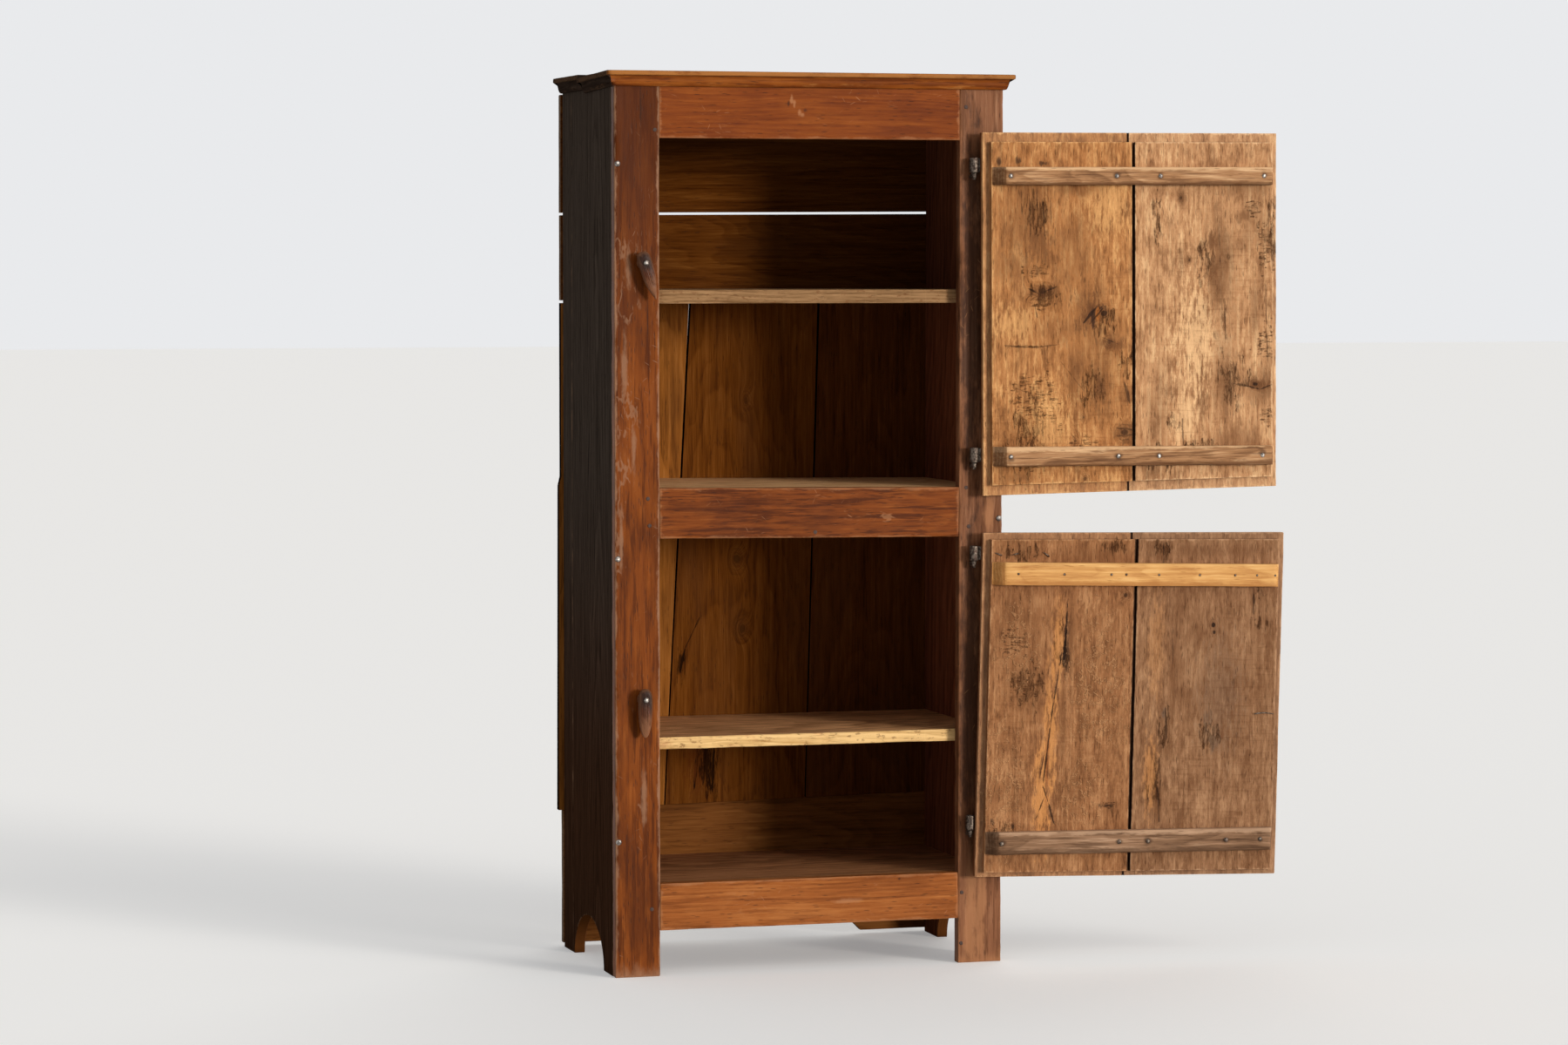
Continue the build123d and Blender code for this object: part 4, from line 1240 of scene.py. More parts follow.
mesh = board_mesh(
    "back_bottom_board", (low.x, high.x), (foot_cut, top_line), (low.y, high.y), upright, step=0.018, seed=97
)
turn_grain(mesh)
bottom_tones = ((0.09, 0.032, 0.008), (0.18, 0.065, 0.016), (0.27, 0.11, 0.03))
new_piece(
    "back_bottom_timber", mesh, back_oak("back bottom oak", (0.1, -0.04), bottom_tones), "back_bottom_board",
)


# ---- Nails of the back ----
# Wrought nails through the back boards into the sides and shelves, driven in flush. They have gone dark.
back_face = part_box("back_plank_middle")[1].y
back_nail_radius = 0.0042
back_nail_sides = (-0.032, 0.689)
back_nail_heights = (0.041, 0.229, 1.265, 1.36, 1.435, 1.587)
plank_nail_places = [(x, z) for x in (0.048, 0.288, 0.3885, 0.578) for z in (0.88, 0.425)]
back_nail_places = [(x, z) for x in back_nail_sides for z in back_nail_heights] + plank_nail_places
stacks = [
    nail_stack(x, z, back_face - 0.0007, 1, back_nail_radius, 0.0005, nail_draw) for x, z in back_nail_places
]
new_piece("back_nail_heads", stack_mesh("back nails", stacks), dark_iron, "back_nails")


# ---- Cornice ----
# A small moulding run with a plane in four lengths: a swelling at the foot, a hollow, and a square
# fillet. It is mitred at the corners and nailed on. The front left return has dropped at its back end.
cornice_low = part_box("cornice_front")[0].z
cornice_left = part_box("left_stile")[0].x
cornice_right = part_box("right_stile")[1].x
return_drop = 0.006
cornice_fillet = (0.0185, 0.0195, 0.028)
cornice_foot = 0.003
cornice_swell = 0.0053
cornice_swell_height = 0.0105
cornice_waist = 0.0125


def cornice_section():
    """The moulding's section as (out, up) points, from its foot round to its top."""
    points = [(0.0, 0.0), (0.0012, 0.0), (cornice_foot - 0.0004, 0.0)]
    for i in range(9):
        turn = math.pi * i / 8
        points.append((
            cornice_foot + cornice_swell * math.sin(turn * 0.55) ** 0.8,
            cornice_swell_height * (1 - math.cos(turn)) / 2 * 0.98 + 0.0002
        ))
    reach, step, top = cornice_fillet
    start = points[-1]
    for i in range(1, 8):
        turn = math.pi / 2 * i / 7
        points.append((
            start[0] + (cornice_waist - start[0]) * (1 - math.cos(turn)),
            start[1] + (step - start[1]) * math.sin(turn)
        ))
    points += [
        (cornice_waist + 0.002, step), (reach - 0.0012, step + 0.0001), (reach - 0.0002, step + 0.0009)
    ]
    points += [
        (reach, step + 0.003), (reach, top - 0.003), (reach - 0.0004, top - 0.0012),
        (reach - 0.0014, top - 0.0003)
    ]
    return points + [(reach - 0.004, top), (reach * 0.5, top), (0.0, top)]


def moulding_mesh(name, start, end, turn, seed, drop):
    """A length of the cornice. start and end: where it begins and ends along, and how far the mitre carries
    each further for every metre outward; turn puts (out, along, up) into the object's x, y and z."""
    section = np.array(cornice_section())
    count = max(2, math.ceil(abs(end[0] - start[0]) / 0.01))
    stations = np.linspace(0, 1, count + 1)
    rings, board = [], []
    for share in stations:
        first = start[0] + start[1] * section[:, 0]
        last = end[0] + end[1] * section[:, 0]
        along = first + (last - first) * share
        sag = drop * share
        board.append(np.column_stack([section[:, 1] + section[:, 0], along, section[:, 0]]))
        rings.append(np.column_stack([section[:, 0], along, cornice_low + section[:, 1] - sag]))
    rings = np.array(rings)
    flat = rings.reshape(-1, 3)
    worn = 0.00045 * wobble(flat, 0.1, seed) + 0.0003 * wobble(flat, 0.025, seed + 1)
    corner = np.isin(np.arange(len(section)), np.arange(len(section) - 11, len(section) - 3))
    draw = random.Random(seed)
    for _ in range(round(count / 5)):
        spot = rings[draw.randrange(count), len(section) - draw.choice((5, 6, 8))]
        away = np.linalg.norm((flat - spot) / (1, 1.8, 1), axis=1) / draw.uniform(0.003, 0.009)
        worn -= 0.0011 * np.exp(-away * away)
    rings[..., 0] += np.minimum(worn, 0.0).reshape(rings.shape[:2]) * (section[:, 0] > 0.001)
    near = np.tile(np.where(corner, 1.0, 0.0), (len(rings), 1))
    near[:, 4:9] = 0.55
    points, faces = [], []
    ring_stack([list(map(tuple, ring)) for ring in rings], faces, points)
    points = np.array(points)
    mesh = bpy.data.meshes.new(name)
    mesh.from_pydata(np.column_stack(turn(*points.T)).tolist(), [], faces)
    extra = len(points) - rings.shape[0] * rings.shape[1]
    own = np.concatenate([np.concatenate(board), np.zeros((extra, 3))])
    keep_timber(mesh, own, np.concatenate([near.ravel(), np.zeros(extra)]))
    mesh.polygons.foreach_set("use_smooth", [len(f.vertices) == 4 for f in mesh.polygons])
    return mesh


cornice_front_oak = waxed_oak(
    "cornice front oak", (0.4, 0.03), ((0.1, 0.02, 0.003), (0.215, 0.053, 0.006), (0.36, 0.11, 0.016)),
    rubbed=0.3, wear_and_highlight_share=0.55, scuffed=(0.46, 0.2, 0.055),
    # The two dark zones listed here are painted shade: in the recess under the fillet and along the foot.
    grimed_and_shaded=((0.0345, 0.32, 0.0032, 0.6), (0.002, 0.32, 0.002, 0.6))
)
cornice_side_oak = waxed_oak(
    "cornice side oak", (0.3, 0.05), ((0.016, 0.01, 0.007), (0.035, 0.022, 0.016), (0.065, 0.043, 0.031)),
    (0.14, 0.075, 0.04), rubbed=0.3, wear_and_highlight_share=0.5, gloss=0.0
)


def to_front(out, along, up):
    return along, frame_front - out, up


def to_left(out, along, up):
    return cornice_left - out, along, up


def to_right(out, along, up):
    return cornice_right + out, along, up


front_end = frame_front
side_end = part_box("cornice_left_rear")[1].y
rear_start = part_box("cornice_left_rear")[0].y
for name, start, end, turn, oak, drop, seed in (
    ("cornice_front", (cornice_left, -1), (cornice_right, 1), to_front, cornice_front_oak, 0.0, 101),
    (
        "cornice_left_front", (front_end, -1), (rear_start - 0.001, 0), to_left, cornice_side_oak,
        return_drop, 103
    ),
    ("cornice_left_rear", (rear_start, 0), (side_end, 0), to_left, cornice_side_oak, 0.0, 105),
    ("cornice_right", (front_end, -1), (side_end, 0), to_right, cornice_side_oak, 0.0, 107)
):
    mesh = moulding_mesh(name, start, end, turn, seed, drop)
    new_piece(name + "_moulding", mesh, oak, name)


# ---- Upper door ----
# Two wide oak planks, rebated all round so that a thin lip laps over the frame, and lapped on each
# other. Drawn closed, then swung open. Inside they are bare, golden and grey brown, never stained.
door_inner = -0.0007
lip_back = -0.0117
lip_front = -0.0237
hinge_edge = 0.626
free_edge = 0.033
raised_hinge_edge = 0.6125
raised_free_edge = 0.0455
inner_seam = 0.329
outer_seam = 0.336
plank_gap = 0.0008
groove = 0.0048


def swung_open(joint_name):
    """From closed to the pose at rest, which is as far open as the hinge's least angle is from it."""
    joint = next((j for j in frame["joints"] if j["name"] == joint_name))
    pivot = Matrix.Translation(joint["pos_m"])
    turn = Matrix.Rotation(math.radians(-joint["range_deg"][0]), 4, Vector(joint["axis"]))
    return pivot @ turn @ pivot.inverted()


def rail_fall(across):
    """How far a line beside the middle rail lies above its own middle height."""
    middle = (opening_left + opening_right) / 2
    return -middle_rail_fall * (across - middle) / (opening_right - opening_left)


def door_plank(name, span, raised_span, lip, raised, sloped_low, seed):
    """One rebated plank of a door: its thin outer layer and the raised layer inside it."""
    def place(across, along, through):
        share = (along - lip[0]) / (lip[1] - lip[0])
        share = 1 - share if sloped_low else share
        height = along + rail_fall(across) * share
        return (across, height, through), (across, through, height)

    boxes = [
        ((span[0], lip[0], lip_front), (span[1], lip[1], lip_back)),
        ((raised_span[0], raised[0], lip_back), (raised_span[1], raised[1], door_inner))
    ]
    return worn_block(name, boxes, place, arris=0.0013, step=0.009, chips=26, waves=0.0007, seed=seed)


def make_torn_group():
    """Grain torn out by saw and plane: short ragged hollows along the board, dense where Zone is 1."""
    given, result = new_group(
        "torn grain",
        {"Places": (0, 0, 0), "Zone": 0.5, "Across": 105.0, "Along": 20.0, "Sparse": 0.68, "Dense": 0.48}
    )
    scaled = stretched(given)
    values = {"Vector": scaled, "Scale": 1.0, "Detail": 7.0, "Roughness": 0.74, "Distortion": 0.2}
    cloud = add_node("ShaderNodeTexNoise", values).outputs["Fac"]
    drop = times(given["Zone"], minus(given["Sparse"], given["Dense"]))
    above = minus(plus(cloud, drop), given["Sparse"])
    link(step_up(above, 0.0, 0.115), result["Mask"])
    return bench["tree"]


torn_group = make_torn_group()


def from_hinge(features):
    """Turns places measured from the hinge edge, in millimetres, into the door's own places in metres."""
    return [(hinge_edge - across / 1000, along / 1000, *rest) for across, along, *rest in features]


def door_oak(name, pith, tones, knots, cracks, stains, torn, chipped, rippled, curled=()):
    """Bare, sawn and scraped oak inside a door, stained and waxed on its outer face.

    Zones: torn along the grain, chipped across it, rippled by a blunt saw, and with curled fibres on end.
    All places are measured from the hinge edge, in millimetres. Stains without a colour are brown.
    """
    zones = (knots, stains, torn, chipped, rippled, curled)
    knots, stains, torn, chipped, rippled, curled = (from_hinge(places) for places in zones)
    starts, ends = from_hinge((crack[:2] for crack in cracks)), from_hinge((crack[2:] for crack in cracks))
    cracks = [start + end for start, end in zip(starts, ends)]
    stains = [stain if len(stain) > 5 else (*stain, stain_brown) for stain in stains]
    made = new_material(name)
    own, places, shift = oak_places()
    ragged = noise(places, 60, 24, 5.0, 0.7)
    frayed = noise(places, 150, 38, 6.0, 0.72)
    pull, dark_spots, halo = knots_and_cracks(own, ragged, knots, cracks)
    grain = oak_grain(places, shift, pith, ring_width=0.006, ring_share=0.22, wander=0.06, pull=pull)
    dark, _, light = tones
    colour = toned(grain, tones, (0.02, 0.48), (0.45, 0.98))
    mottled = noise(places, 26, 12, 6.0, 0.66)
    tone = times_plus(mottled, 0.6, times(frayed, 0.4))
    colour = mix(times(step_up(tone, 0.47, 0.63), 0.62), colour, stain_brown)
    colour = mix(times(step_up(tone, 0.48, 0.37), 0.62), colour, light)
    colour = mix(times(step_up(frayed, 0.5, 0.66), 0.36), colour, dark)
    colour = mix(times(step_up(frayed, 0.47, 0.34), 0.3), colour, light)
    colour = mix(times(grain["Pores"], 0.55), colour, (0.09, 0.036, 0.014))
    zone = zones_of(own, ragged, torn, times(step_up(mottled, 0.52, 0.7), 0.5))
    torn_out = use_group(torn_group, places=places, zone=zone)["Mask"]
    checks = use_group(
        torn_group, places=places, zone=zone, across=170.0, along=75.0, sparse=0.74, dense=0.55
    )["Mask"]
    crosswise = use_group(
        torn_group, places=places, zone=zones_of(own, ragged, chipped), across=55.0, along=210.0,
        sparse=0.74, dense=0.5
    )["Mask"]
    torn_out = most(most(torn_out, checks), times(crosswise, 0.8))
    fibres = times_plus(step_up(frayed, 0.42, 0.58), 0.6, 0.4)
    torn_out = times(torn_out, fibres)
    colour = mix(times(torn_out, 0.95), colour, torn_brown)
    colour = stained(colour, own, frayed, stains)
    colour = mix(times(halo, 0.6), colour, stain_brown)
    colour = mix(dark_spots, colour, (0.022, 0.01, 0.006))
    ripple_zone = zones_of(own, ragged, rippled, 0.1)
    saw = noise(places, 16, 170, 2.0, 0.5)
    ripple = times(saw, ripple_zone)
    ridged = times(step_up(saw, 0.55, 0.66), times(ripple_zone, 0.28))
    colour = mix(ridged, colour, mix(1.0, colour, (0.55, 0.45, 0.38), "MULTIPLY"))
    curl_zone = zones_of(own, ragged, curled)
    curls = use_group(
        curls_group, places=own, zone=curl_zone, across=75.0, along=70.0, lines=3.5, width=0.15
    )["Mask"]
    curls = times(curls, curl_zone)
    colour = mix(times(curls, 0.45), colour, light)
    # Paler arrises: rubbed wear, and a painted highlight along the raised edges.
    edge = step_up(times_plus(arris_of(), 0.6, ragged), 0.95, 1.15)
    rubbed = mix(1.0, light, (1.15, 1.2, 1.3), "MULTIPLY")
    colour = mix(times(edge, 0.6), colour, rubbed)
    place = parts_of(own)
    # Painted shade: dark bands beside the seam between the planks, on the raised face and on the lip, wider
    # than the gap itself.
    from_seam = unsigned(minus(place["X"], inner_seam))
    beside_seam = times_plus(minus(ragged, 0.5), 0.004, from_seam)
    on_raised = step_up(place["Z"], lip_back + 0.001, lip_back + 0.002)
    seam_shade_mask = times(step_up(beside_seam, 0.0046, 0.0026), on_raised)
    colour = mix(seam_shade_mask, colour, seam_shadow_colour)
    from_lap = unsigned(minus(place["X"], outer_seam))
    on_lip = minus(1.0, on_raised)
    colour = mix(times(on_lip, 0.12), colour, lip_pale)
    lap_shade_mask = times(step_up(from_lap, 0.0032, 0.0016), on_lip)
    colour = mix(lap_shade_mask, colour, seam_shadow_colour)
    out_face = step_up(place["Z"], lip_front + 0.0044, lip_front + 0.0036)
    colour = mix(out_face, colour, mix(step_up(grain["Figure"], 0.2, 0.8), frame_dark, frame_red))
    rough = times_plus(ragged, 0.2, times_plus(out_face, -0.25, 0.58))
    return close_wood(made, colour, rough, 0.07, (
        (grain["Relief"], 0.0012), (grain["Pores"], -0.0008), (ripple, 0.0018), (ragged, 0.0022),
        (frayed, 0.0024), (torn_out, -0.003), (curls, 0.0012)
    ))


door_spans = {
    "hinge_plank": ((outer_seam + plank_gap / 2, hinge_edge), (inner_seam + groove / 2, raised_hinge_edge)),
    "free_plank": ((free_edge, outer_seam - plank_gap / 2), (raised_free_edge, inner_seam - groove / 2))
}
torn_brown = (0.075, 0.025, 0.008)
lip_pale = (0.55, 0.36, 0.23)
# Colour of the painted shade in the door's seams.
seam_shadow_colour = (0.03, 0.012, 0.006)
stain_brown = (0.14, 0.054, 0.02)
stain_black = (0.035, 0.016, 0.01)
stain_grey = (0.14, 0.085, 0.055)
# The upper door's tones carry painted light: they are brighter than the lower door's for the stronger light
# on the upper door.
lit_upper_gold = ((0.18, 0.066, 0.018), (0.43, 0.182, 0.062), (0.72, 0.39, 0.155))
lit_upper_pale = ((0.22, 0.093, 0.034), (0.51, 0.262, 0.122), (0.78, 0.49, 0.255))
upper_chipped = (
    (90, 1147, 0.055, 0.006), (110, 1230, 0.05, 0.03), (100, 1050, 0.07, 0.09), (90, 940, 0.06, 0.04),
    (110, 1290, 0.05, 0.02), (200, 960, 0.05, 0.03)
)
upper_free_chipped = (
    (570, 1330, 0.03, 0.09), (545, 1400, 0.03, 0.03), (565, 1150, 0.03, 0.06), (570, 1010, 0.03, 0.03)
)
upper_rippled = ((110, 1000, 0.14, 0.14), (250, 1020, 0.09, 0.18), (260, 1250, 0.06, 0.1))
upper_free_rippled = ((430, 1180, 0.11, 0.28), (400, 1000, 0.08, 0.11), (530, 1250, 0.06, 0.2))
upper_torn = (
    (100, 1392, 0.04, 0.055), (118, 1240, 0.045, 0.03), (80, 980, 0.06, 0.11), (240, 1190, 0.035, 0.045),
    (285, 1110, 0.03, 0.04), (215, 1075, 0.035, 0.06)
)
upper_free_torn = (
    (345, 1380, 0.016, 0.07), (575, 1350, 0.03, 0.09), (345, 940, 0.04, 0.04), (440, 1300, 0.02, 0.07),
    (500, 1080, 0.04, 0.07), (380, 1000, 0.02, 0.03), (440, 960, 0.05, 0.014)
)

upper_knots = (
    (114, 1250, 0.011, 0.55, 0.5), (238, 1208, 0.007, 0.9, 0.85), (247, 1155, 0.005, 1.2, 0.5),
    (279, 986, 0.009, 0.8, 0.7), (180, 971, 0.004, 1.2, 0.6), (196, 1015, 0.003, 1.2, 0.6),
    (199, 901, 0.004, 1.2, 0.6)
)
upper_light = (0.8, 0.44, 0.17)
upper_stains = (
    (106, 1336, 0.03, 0.035, 0.5), (215, 1212, 0.02, 0.03, 0.8), (227, 1071, 0.014, 0.022, 0.7),
    (285, 1052, 0.005, 0.014, 0.8), (179, 1092, 0.02, 0.06, 0.4), (100, 1392, 0.03, 0.05, 0.35),
    (60, 1300, 0.05, 0.03, 0.45), (180, 1330, 0.03, 0.08, 0.35), (85, 1380, 0.06, 0.08, 0.42),
    (230, 1130, 0.05, 0.11, 0.3), (118, 1243, 0.046, 0.024, 0.45), (213, 1205, 0.032, 0.045, 0.5),
    (250, 1150, 0.032, 0.02, 0.5), (227, 1068, 0.026, 0.042, 0.55), (279, 986, 0.03, 0.02, 0.55),
    (80, 960, 0.05, 0.06, 0.35), (200, 1225, 0.03, 0.045, 0.5), (232, 1217, 0.008, 0.008, 0.95, stain_black),
    (216, 1200, 0.006, 0.02, 0.8, stain_black), (225, 1205, 0.005, 0.014, 0.7, (0.5, 0.16, 0.03)),
    (250, 1410, 0.05, 0.06, 0.4, upper_light), (60, 1190, 0.05, 0.03, 0.4, upper_light),
    (130, 1000, 0.05, 0.08, 0.35, upper_light), (30, 1489, 0.007, 0.008, 0.85, stain_black),
    (66, 1490, 0.006, 0.009, 0.8, stain_black), (114, 1486, 0.012, 0.005, 0.8, stain_black),
    (118, 1250, 0.022, 0.012, 0.6), (140, 1180, 0.05, 0.03, 0.3), (262, 1148, 0.03, 0.01, 0.6),
    (190, 1440, 0.04, 0.014, 0.4), (285, 968, 0.018, 0.006, 0.6), (60, 905, 0.03, 0.01, 0.4)
)
pale_wood = (0.88, 0.56, 0.29)
upper_free_stains = (
    (425, 1165, 0.045, 0.1, 0.55, pale_wood), (400, 1010, 0.03, 0.06, 0.4, pale_wood),
    (470, 1310, 0.022, 0.11, 0.5), (480, 1090, 0.022, 0.12, 0.35), (456, 1335, 0.012, 0.03, 0.7),
    (456, 1284, 0.015, 0.02, 0.7), (482, 1190, 0.004, 0.042, 0.7), (520, 1387, 0.02, 0.012, 0.6),
    (488, 1067, 0.02, 0.055, 0.5), (555, 1070, 0.028, 0.012, 0.7), (500, 960, 0.06, 0.04, 0.45),
    (545, 1210, 0.012, 0.06, 0.45), (478, 1290, 0.034, 0.11, 0.3), (550, 1370, 0.034, 0.05, 0.35),
    (552, 1066, 0.04, 0.03, 0.5), (345, 1010, 0.02, 0.08, 0.35), (520, 1440, 0.05, 0.018, 0.4),
    (396, 1422, 0.008, 0.014, 0.7), (575, 1100, 0.012, 0.05, 0.3)
)
upper_free_knots = ((410, 1306, 0.003, 1.3, 0.6), (393, 1422, 0.003, 1.3, 0.6), (545, 1072, 0.006, 0.7, 0.9))
upper_cracks = (
    (84, 1256, 108, 1245, 0.002, 0.75), (108, 1245, 142, 1258, 0.0018, 0.7),
    (98, 1228, 104, 1200, 0.0018, 0.65), (196, 1190, 228, 1226, 0.0032, 0.85),
    (208, 1188, 236, 1218, 0.002, 0.75), (232, 1164, 270, 1149, 0.0018, 0.7),
    (278, 1080, 290, 1036, 0.003, 0.6), (38, 1150, 92, 1146, 0.0016, 0.55),
    (92, 1146, 148, 1151, 0.0014, 0.5), (262, 994, 298, 990, 0.0018, 0.65),
    (262, 979, 296, 981, 0.0016, 0.55), (150, 1120, 200, 1060, 0.001, 0.4),
    (72, 1440, 74, 1385, 0.0016, 0.5), (88, 1432, 91, 1350, 0.0018, 0.55),
    (103, 1440, 104, 1395, 0.0016, 0.5), (115, 1420, 119, 1350, 0.0018, 0.55),
    (130, 1438, 132, 1370, 0.0014, 0.45)
)
upper_free_cracks = (
    (526, 1069, 556, 1062, 0.0018, 0.75), (556, 1062, 588, 1074, 0.0016, 0.75),
    (500, 1074, 528, 1068, 0.0026, 0.55), (482, 1235, 484, 1150, 0.0018, 0.5),
    (566, 1260, 571, 1100, 0.0016, 0.45), (470, 1380, 474, 1290, 0.0016, 0.4),
    (396, 1010, 398, 960, 0.0024, 0.6), (372, 1090, 374, 1040, 0.0022, 0.5),
    (418, 970, 420, 930, 0.0022, 0.5)
)
upper_planks = (
    (
        "hinge_plank",
        door_oak(
            "upper hinge plank oak", (0.48, -0.05), lit_upper_gold, upper_knots, upper_cracks, upper_stains,
            upper_torn, upper_chipped, upper_rippled
        ),
        111
    ),
    (
        "free_plank",
        door_oak(
            "upper free plank oak", (0.2, 0.04), lit_upper_pale, upper_free_knots, upper_free_cracks,
            upper_free_stains, upper_free_torn, upper_free_chipped, upper_free_rippled
        ),
        113
    )
)


def hang_door(door, lip, raised, sloped_low, planks):
    """Puts a door's planks into the scene, swung open; gives how it is swung."""
    opened = swung_open(door + "_door_hinge")
    for name, oak, seed in planks:
        node = f"{door}_door_{name}"
        mesh = door_plank(node, *door_spans[name], lip, raised, sloped_low, seed)
        mesh.transform(opened)
        new_piece(node + "_timber", mesh, oak, node, door + "_door")
    return opened


upper_open = hang_door("upper", (0.8755, 1.543), (0.8945, 1.5255), True, upper_planks)


# ---- Lower door ----
# Built as the upper one, of two browner planks; part of the difference is painted light carried by the upper
# door's tones. A long drying crack runs down the hinge plank.
lower_hinge_tones = ((0.12, 0.043, 0.016), (0.31, 0.133, 0.053), (0.52, 0.265, 0.12))
lower_free_tones = ((0.11, 0.046, 0.02), (0.27, 0.131, 0.062), (0.46, 0.255, 0.132))
lower_torn = (
    (70, 770, 0.045, 0.03), (250, 780, 0.04, 0.02), (155, 600, 0.022, 0.1), (50, 250, 0.04, 0.03),
    (88, 520, 0.045, 0.07)
)
lower_chipped = ((85, 520, 0.045, 0.06), (60, 600, 0.04, 0.05), (249, 297, 0.03, 0.01))
lower_rippled = ((200, 400, 0.1, 0.2), (60, 420, 0.06, 0.2))
lower_curled = ((70, 600, 0.06, 0.12), (50, 330, 0.06, 0.16), (230, 520, 0.09, 0.2), (200, 330, 0.06, 0.1))
lower_free_torn = (
    (345, 775, 0.03, 0.028), (360, 440, 0.02, 0.07), (545, 640, 0.025, 0.02), (450, 430, 0.03, 0.06),
    (345, 340, 0.022, 0.08), (540, 700, 0.02, 0.04)
)
lower_free_rippled = ((520, 450, 0.09, 0.3), (420, 350, 0.06, 0.15))
lower_cracks = (
    (164, 675, 162, 610, 0.0018, 0.9), (163, 640, 159, 553, 0.0036, 0.97), (156, 590, 140, 480, 0.0016, 0.8),
    (142, 500, 124, 331, 0.0018, 0.85), (124, 336, 137, 300, 0.0013, 0.85),
    (136, 304, 148, 263, 0.0015, 0.85), (128, 314, 111, 270, 0.0012, 0.8), (130, 420, 118, 350, 0.001, 0.7)
)
lower_free_cracks = (
    (350, 795, 352, 700, 0.0018, 0.7), (350, 330, 356, 265, 0.0022, 0.7), (362, 480, 366, 420, 0.0024, 0.6),
    (530, 715, 533, 655, 0.0022, 0.6), (372, 640, 374, 560, 0.0014, 0.45)
)
streak_gold = (0.62, 0.27, 0.085)
lower_stains = (
    (148, 600, 0.014, 0.08, 0.6, streak_gold), (136, 440, 0.015, 0.14, 0.7, streak_gold),
    (122, 310, 0.018, 0.1, 0.75, streak_gold), (249, 297, 0.018, 0.005, 0.7, stain_black),
    (172, 610, 0.01, 0.07, 0.6), (165, 585, 0.006, 0.05, 0.7, stain_black), (88, 520, 0.045, 0.05, 0.35),
    (160, 440, 0.008, 0.08, 0.5), (70, 640, 0.06, 0.1, 0.25), (220, 760, 0.06, 0.02, 0.4),
    (132, 380, 0.004, 0.09, 0.6, (0.2, 0.045, 0.012)), (28, 268, 0.005, 0.007, 0.8, stain_black),
    (69, 260, 0.005, 0.007, 0.8, stain_black), (70, 780, 0.015, 0.02, 0.5)
)
lower_free_stains = (
    (347, 775, 0.022, 0.022, 0.7), (420, 775, 0.05, 0.012, 0.5), (530, 683, 0.004, 0.03, 0.7),
    (360, 469, 0.007, 0.014, 0.8, stain_grey), (335, 350, 0.014, 0.08, 0.45, streak_gold),
    (340, 600, 0.018, 0.1, 0.2, streak_gold), (375, 500, 0.006, 0.1, 0.6), (370, 420, 0.01, 0.05, 0.6),
    (352, 300, 0.008, 0.05, 0.6), (447, 458, 0.01, 0.02, 0.5, stain_grey),
    (470, 500, 0.05, 0.12, 0.35, stain_grey), (500, 775, 0.05, 0.014, 0.4), (560, 560, 0.03, 0.16, 0.25),
    (400, 640, 0.03, 0.1, 0.25), (460, 408, 0.012, 0.016, 0.5, stain_grey), (514, 280, 0.009, 0.006, 0.6)
)
lower_planks = (
    (
        "hinge_plank",
        door_oak(
            "lower hinge plank oak", (0.47, -0.05), lower_hinge_tones, ((278, 691, 0.005, 0.8, 0.7),),
            lower_cracks, lower_stains, lower_torn, lower_chipped, lower_rippled, lower_curled
        ),
        117
    ),
    (
        "free_plank",
        door_oak(
            "lower free plank oak", (0.2, 0.045), lower_free_tones,
            ((453, 636, 0.004, 1.2, 0.95), (455, 622, 0.003, 1.2, 0.9)), lower_free_cracks,
            lower_free_stains, lower_free_torn, (), lower_free_rippled
        ),
        119
    )
)
lower_open = hang_door("lower", (0.164, 0.8075), (0.1735, 0.7955), False, lower_planks)


# ---- Battens ----
# Two bars across the inside of each door, chamfered at both ends and nailed through. Three are old
# and grey brown; the lower door's top one is a later repair in pale new wood.
batten_back = 0.0193
batten_ends = (raised_free_edge + 0.0015, raised_hinge_edge - 0.0015)
free_bevel = 0.007
hinge_bevel = 0.02
door_middle = (opening_left + opening_right) / 2


def batten_mesh(name, height, width, turn, seed, arris):
    """A bar whose ends slope down to the door, turned a little about its middle."""
    lean = math.tan(math.radians(turn))

    def place(across, along, through):
        free_limit = (along - batten_ends[0]) / free_bevel
        hinge_limit = (batten_ends[1] - along) / hinge_bevel
        rise = (batten_back - door_inner) * np.clip(np.minimum(free_limit, hinge_limit), 0.06, 1)
        deep = np.where(through > door_inner + 0.0002, np.minimum(through, door_inner + rise), through)
        real = across - (along - door_middle) * lean
        return (real, along, deep), (along, deep, real)

    box = (
        (height - width / 2, batten_ends[0], door_inner), (height + width / 2, batten_ends[1], batten_back)
    )
    return worn_block(name, [box], place, arris=arris, step=0.006, chips=24, waves=0.0006, seed=seed)


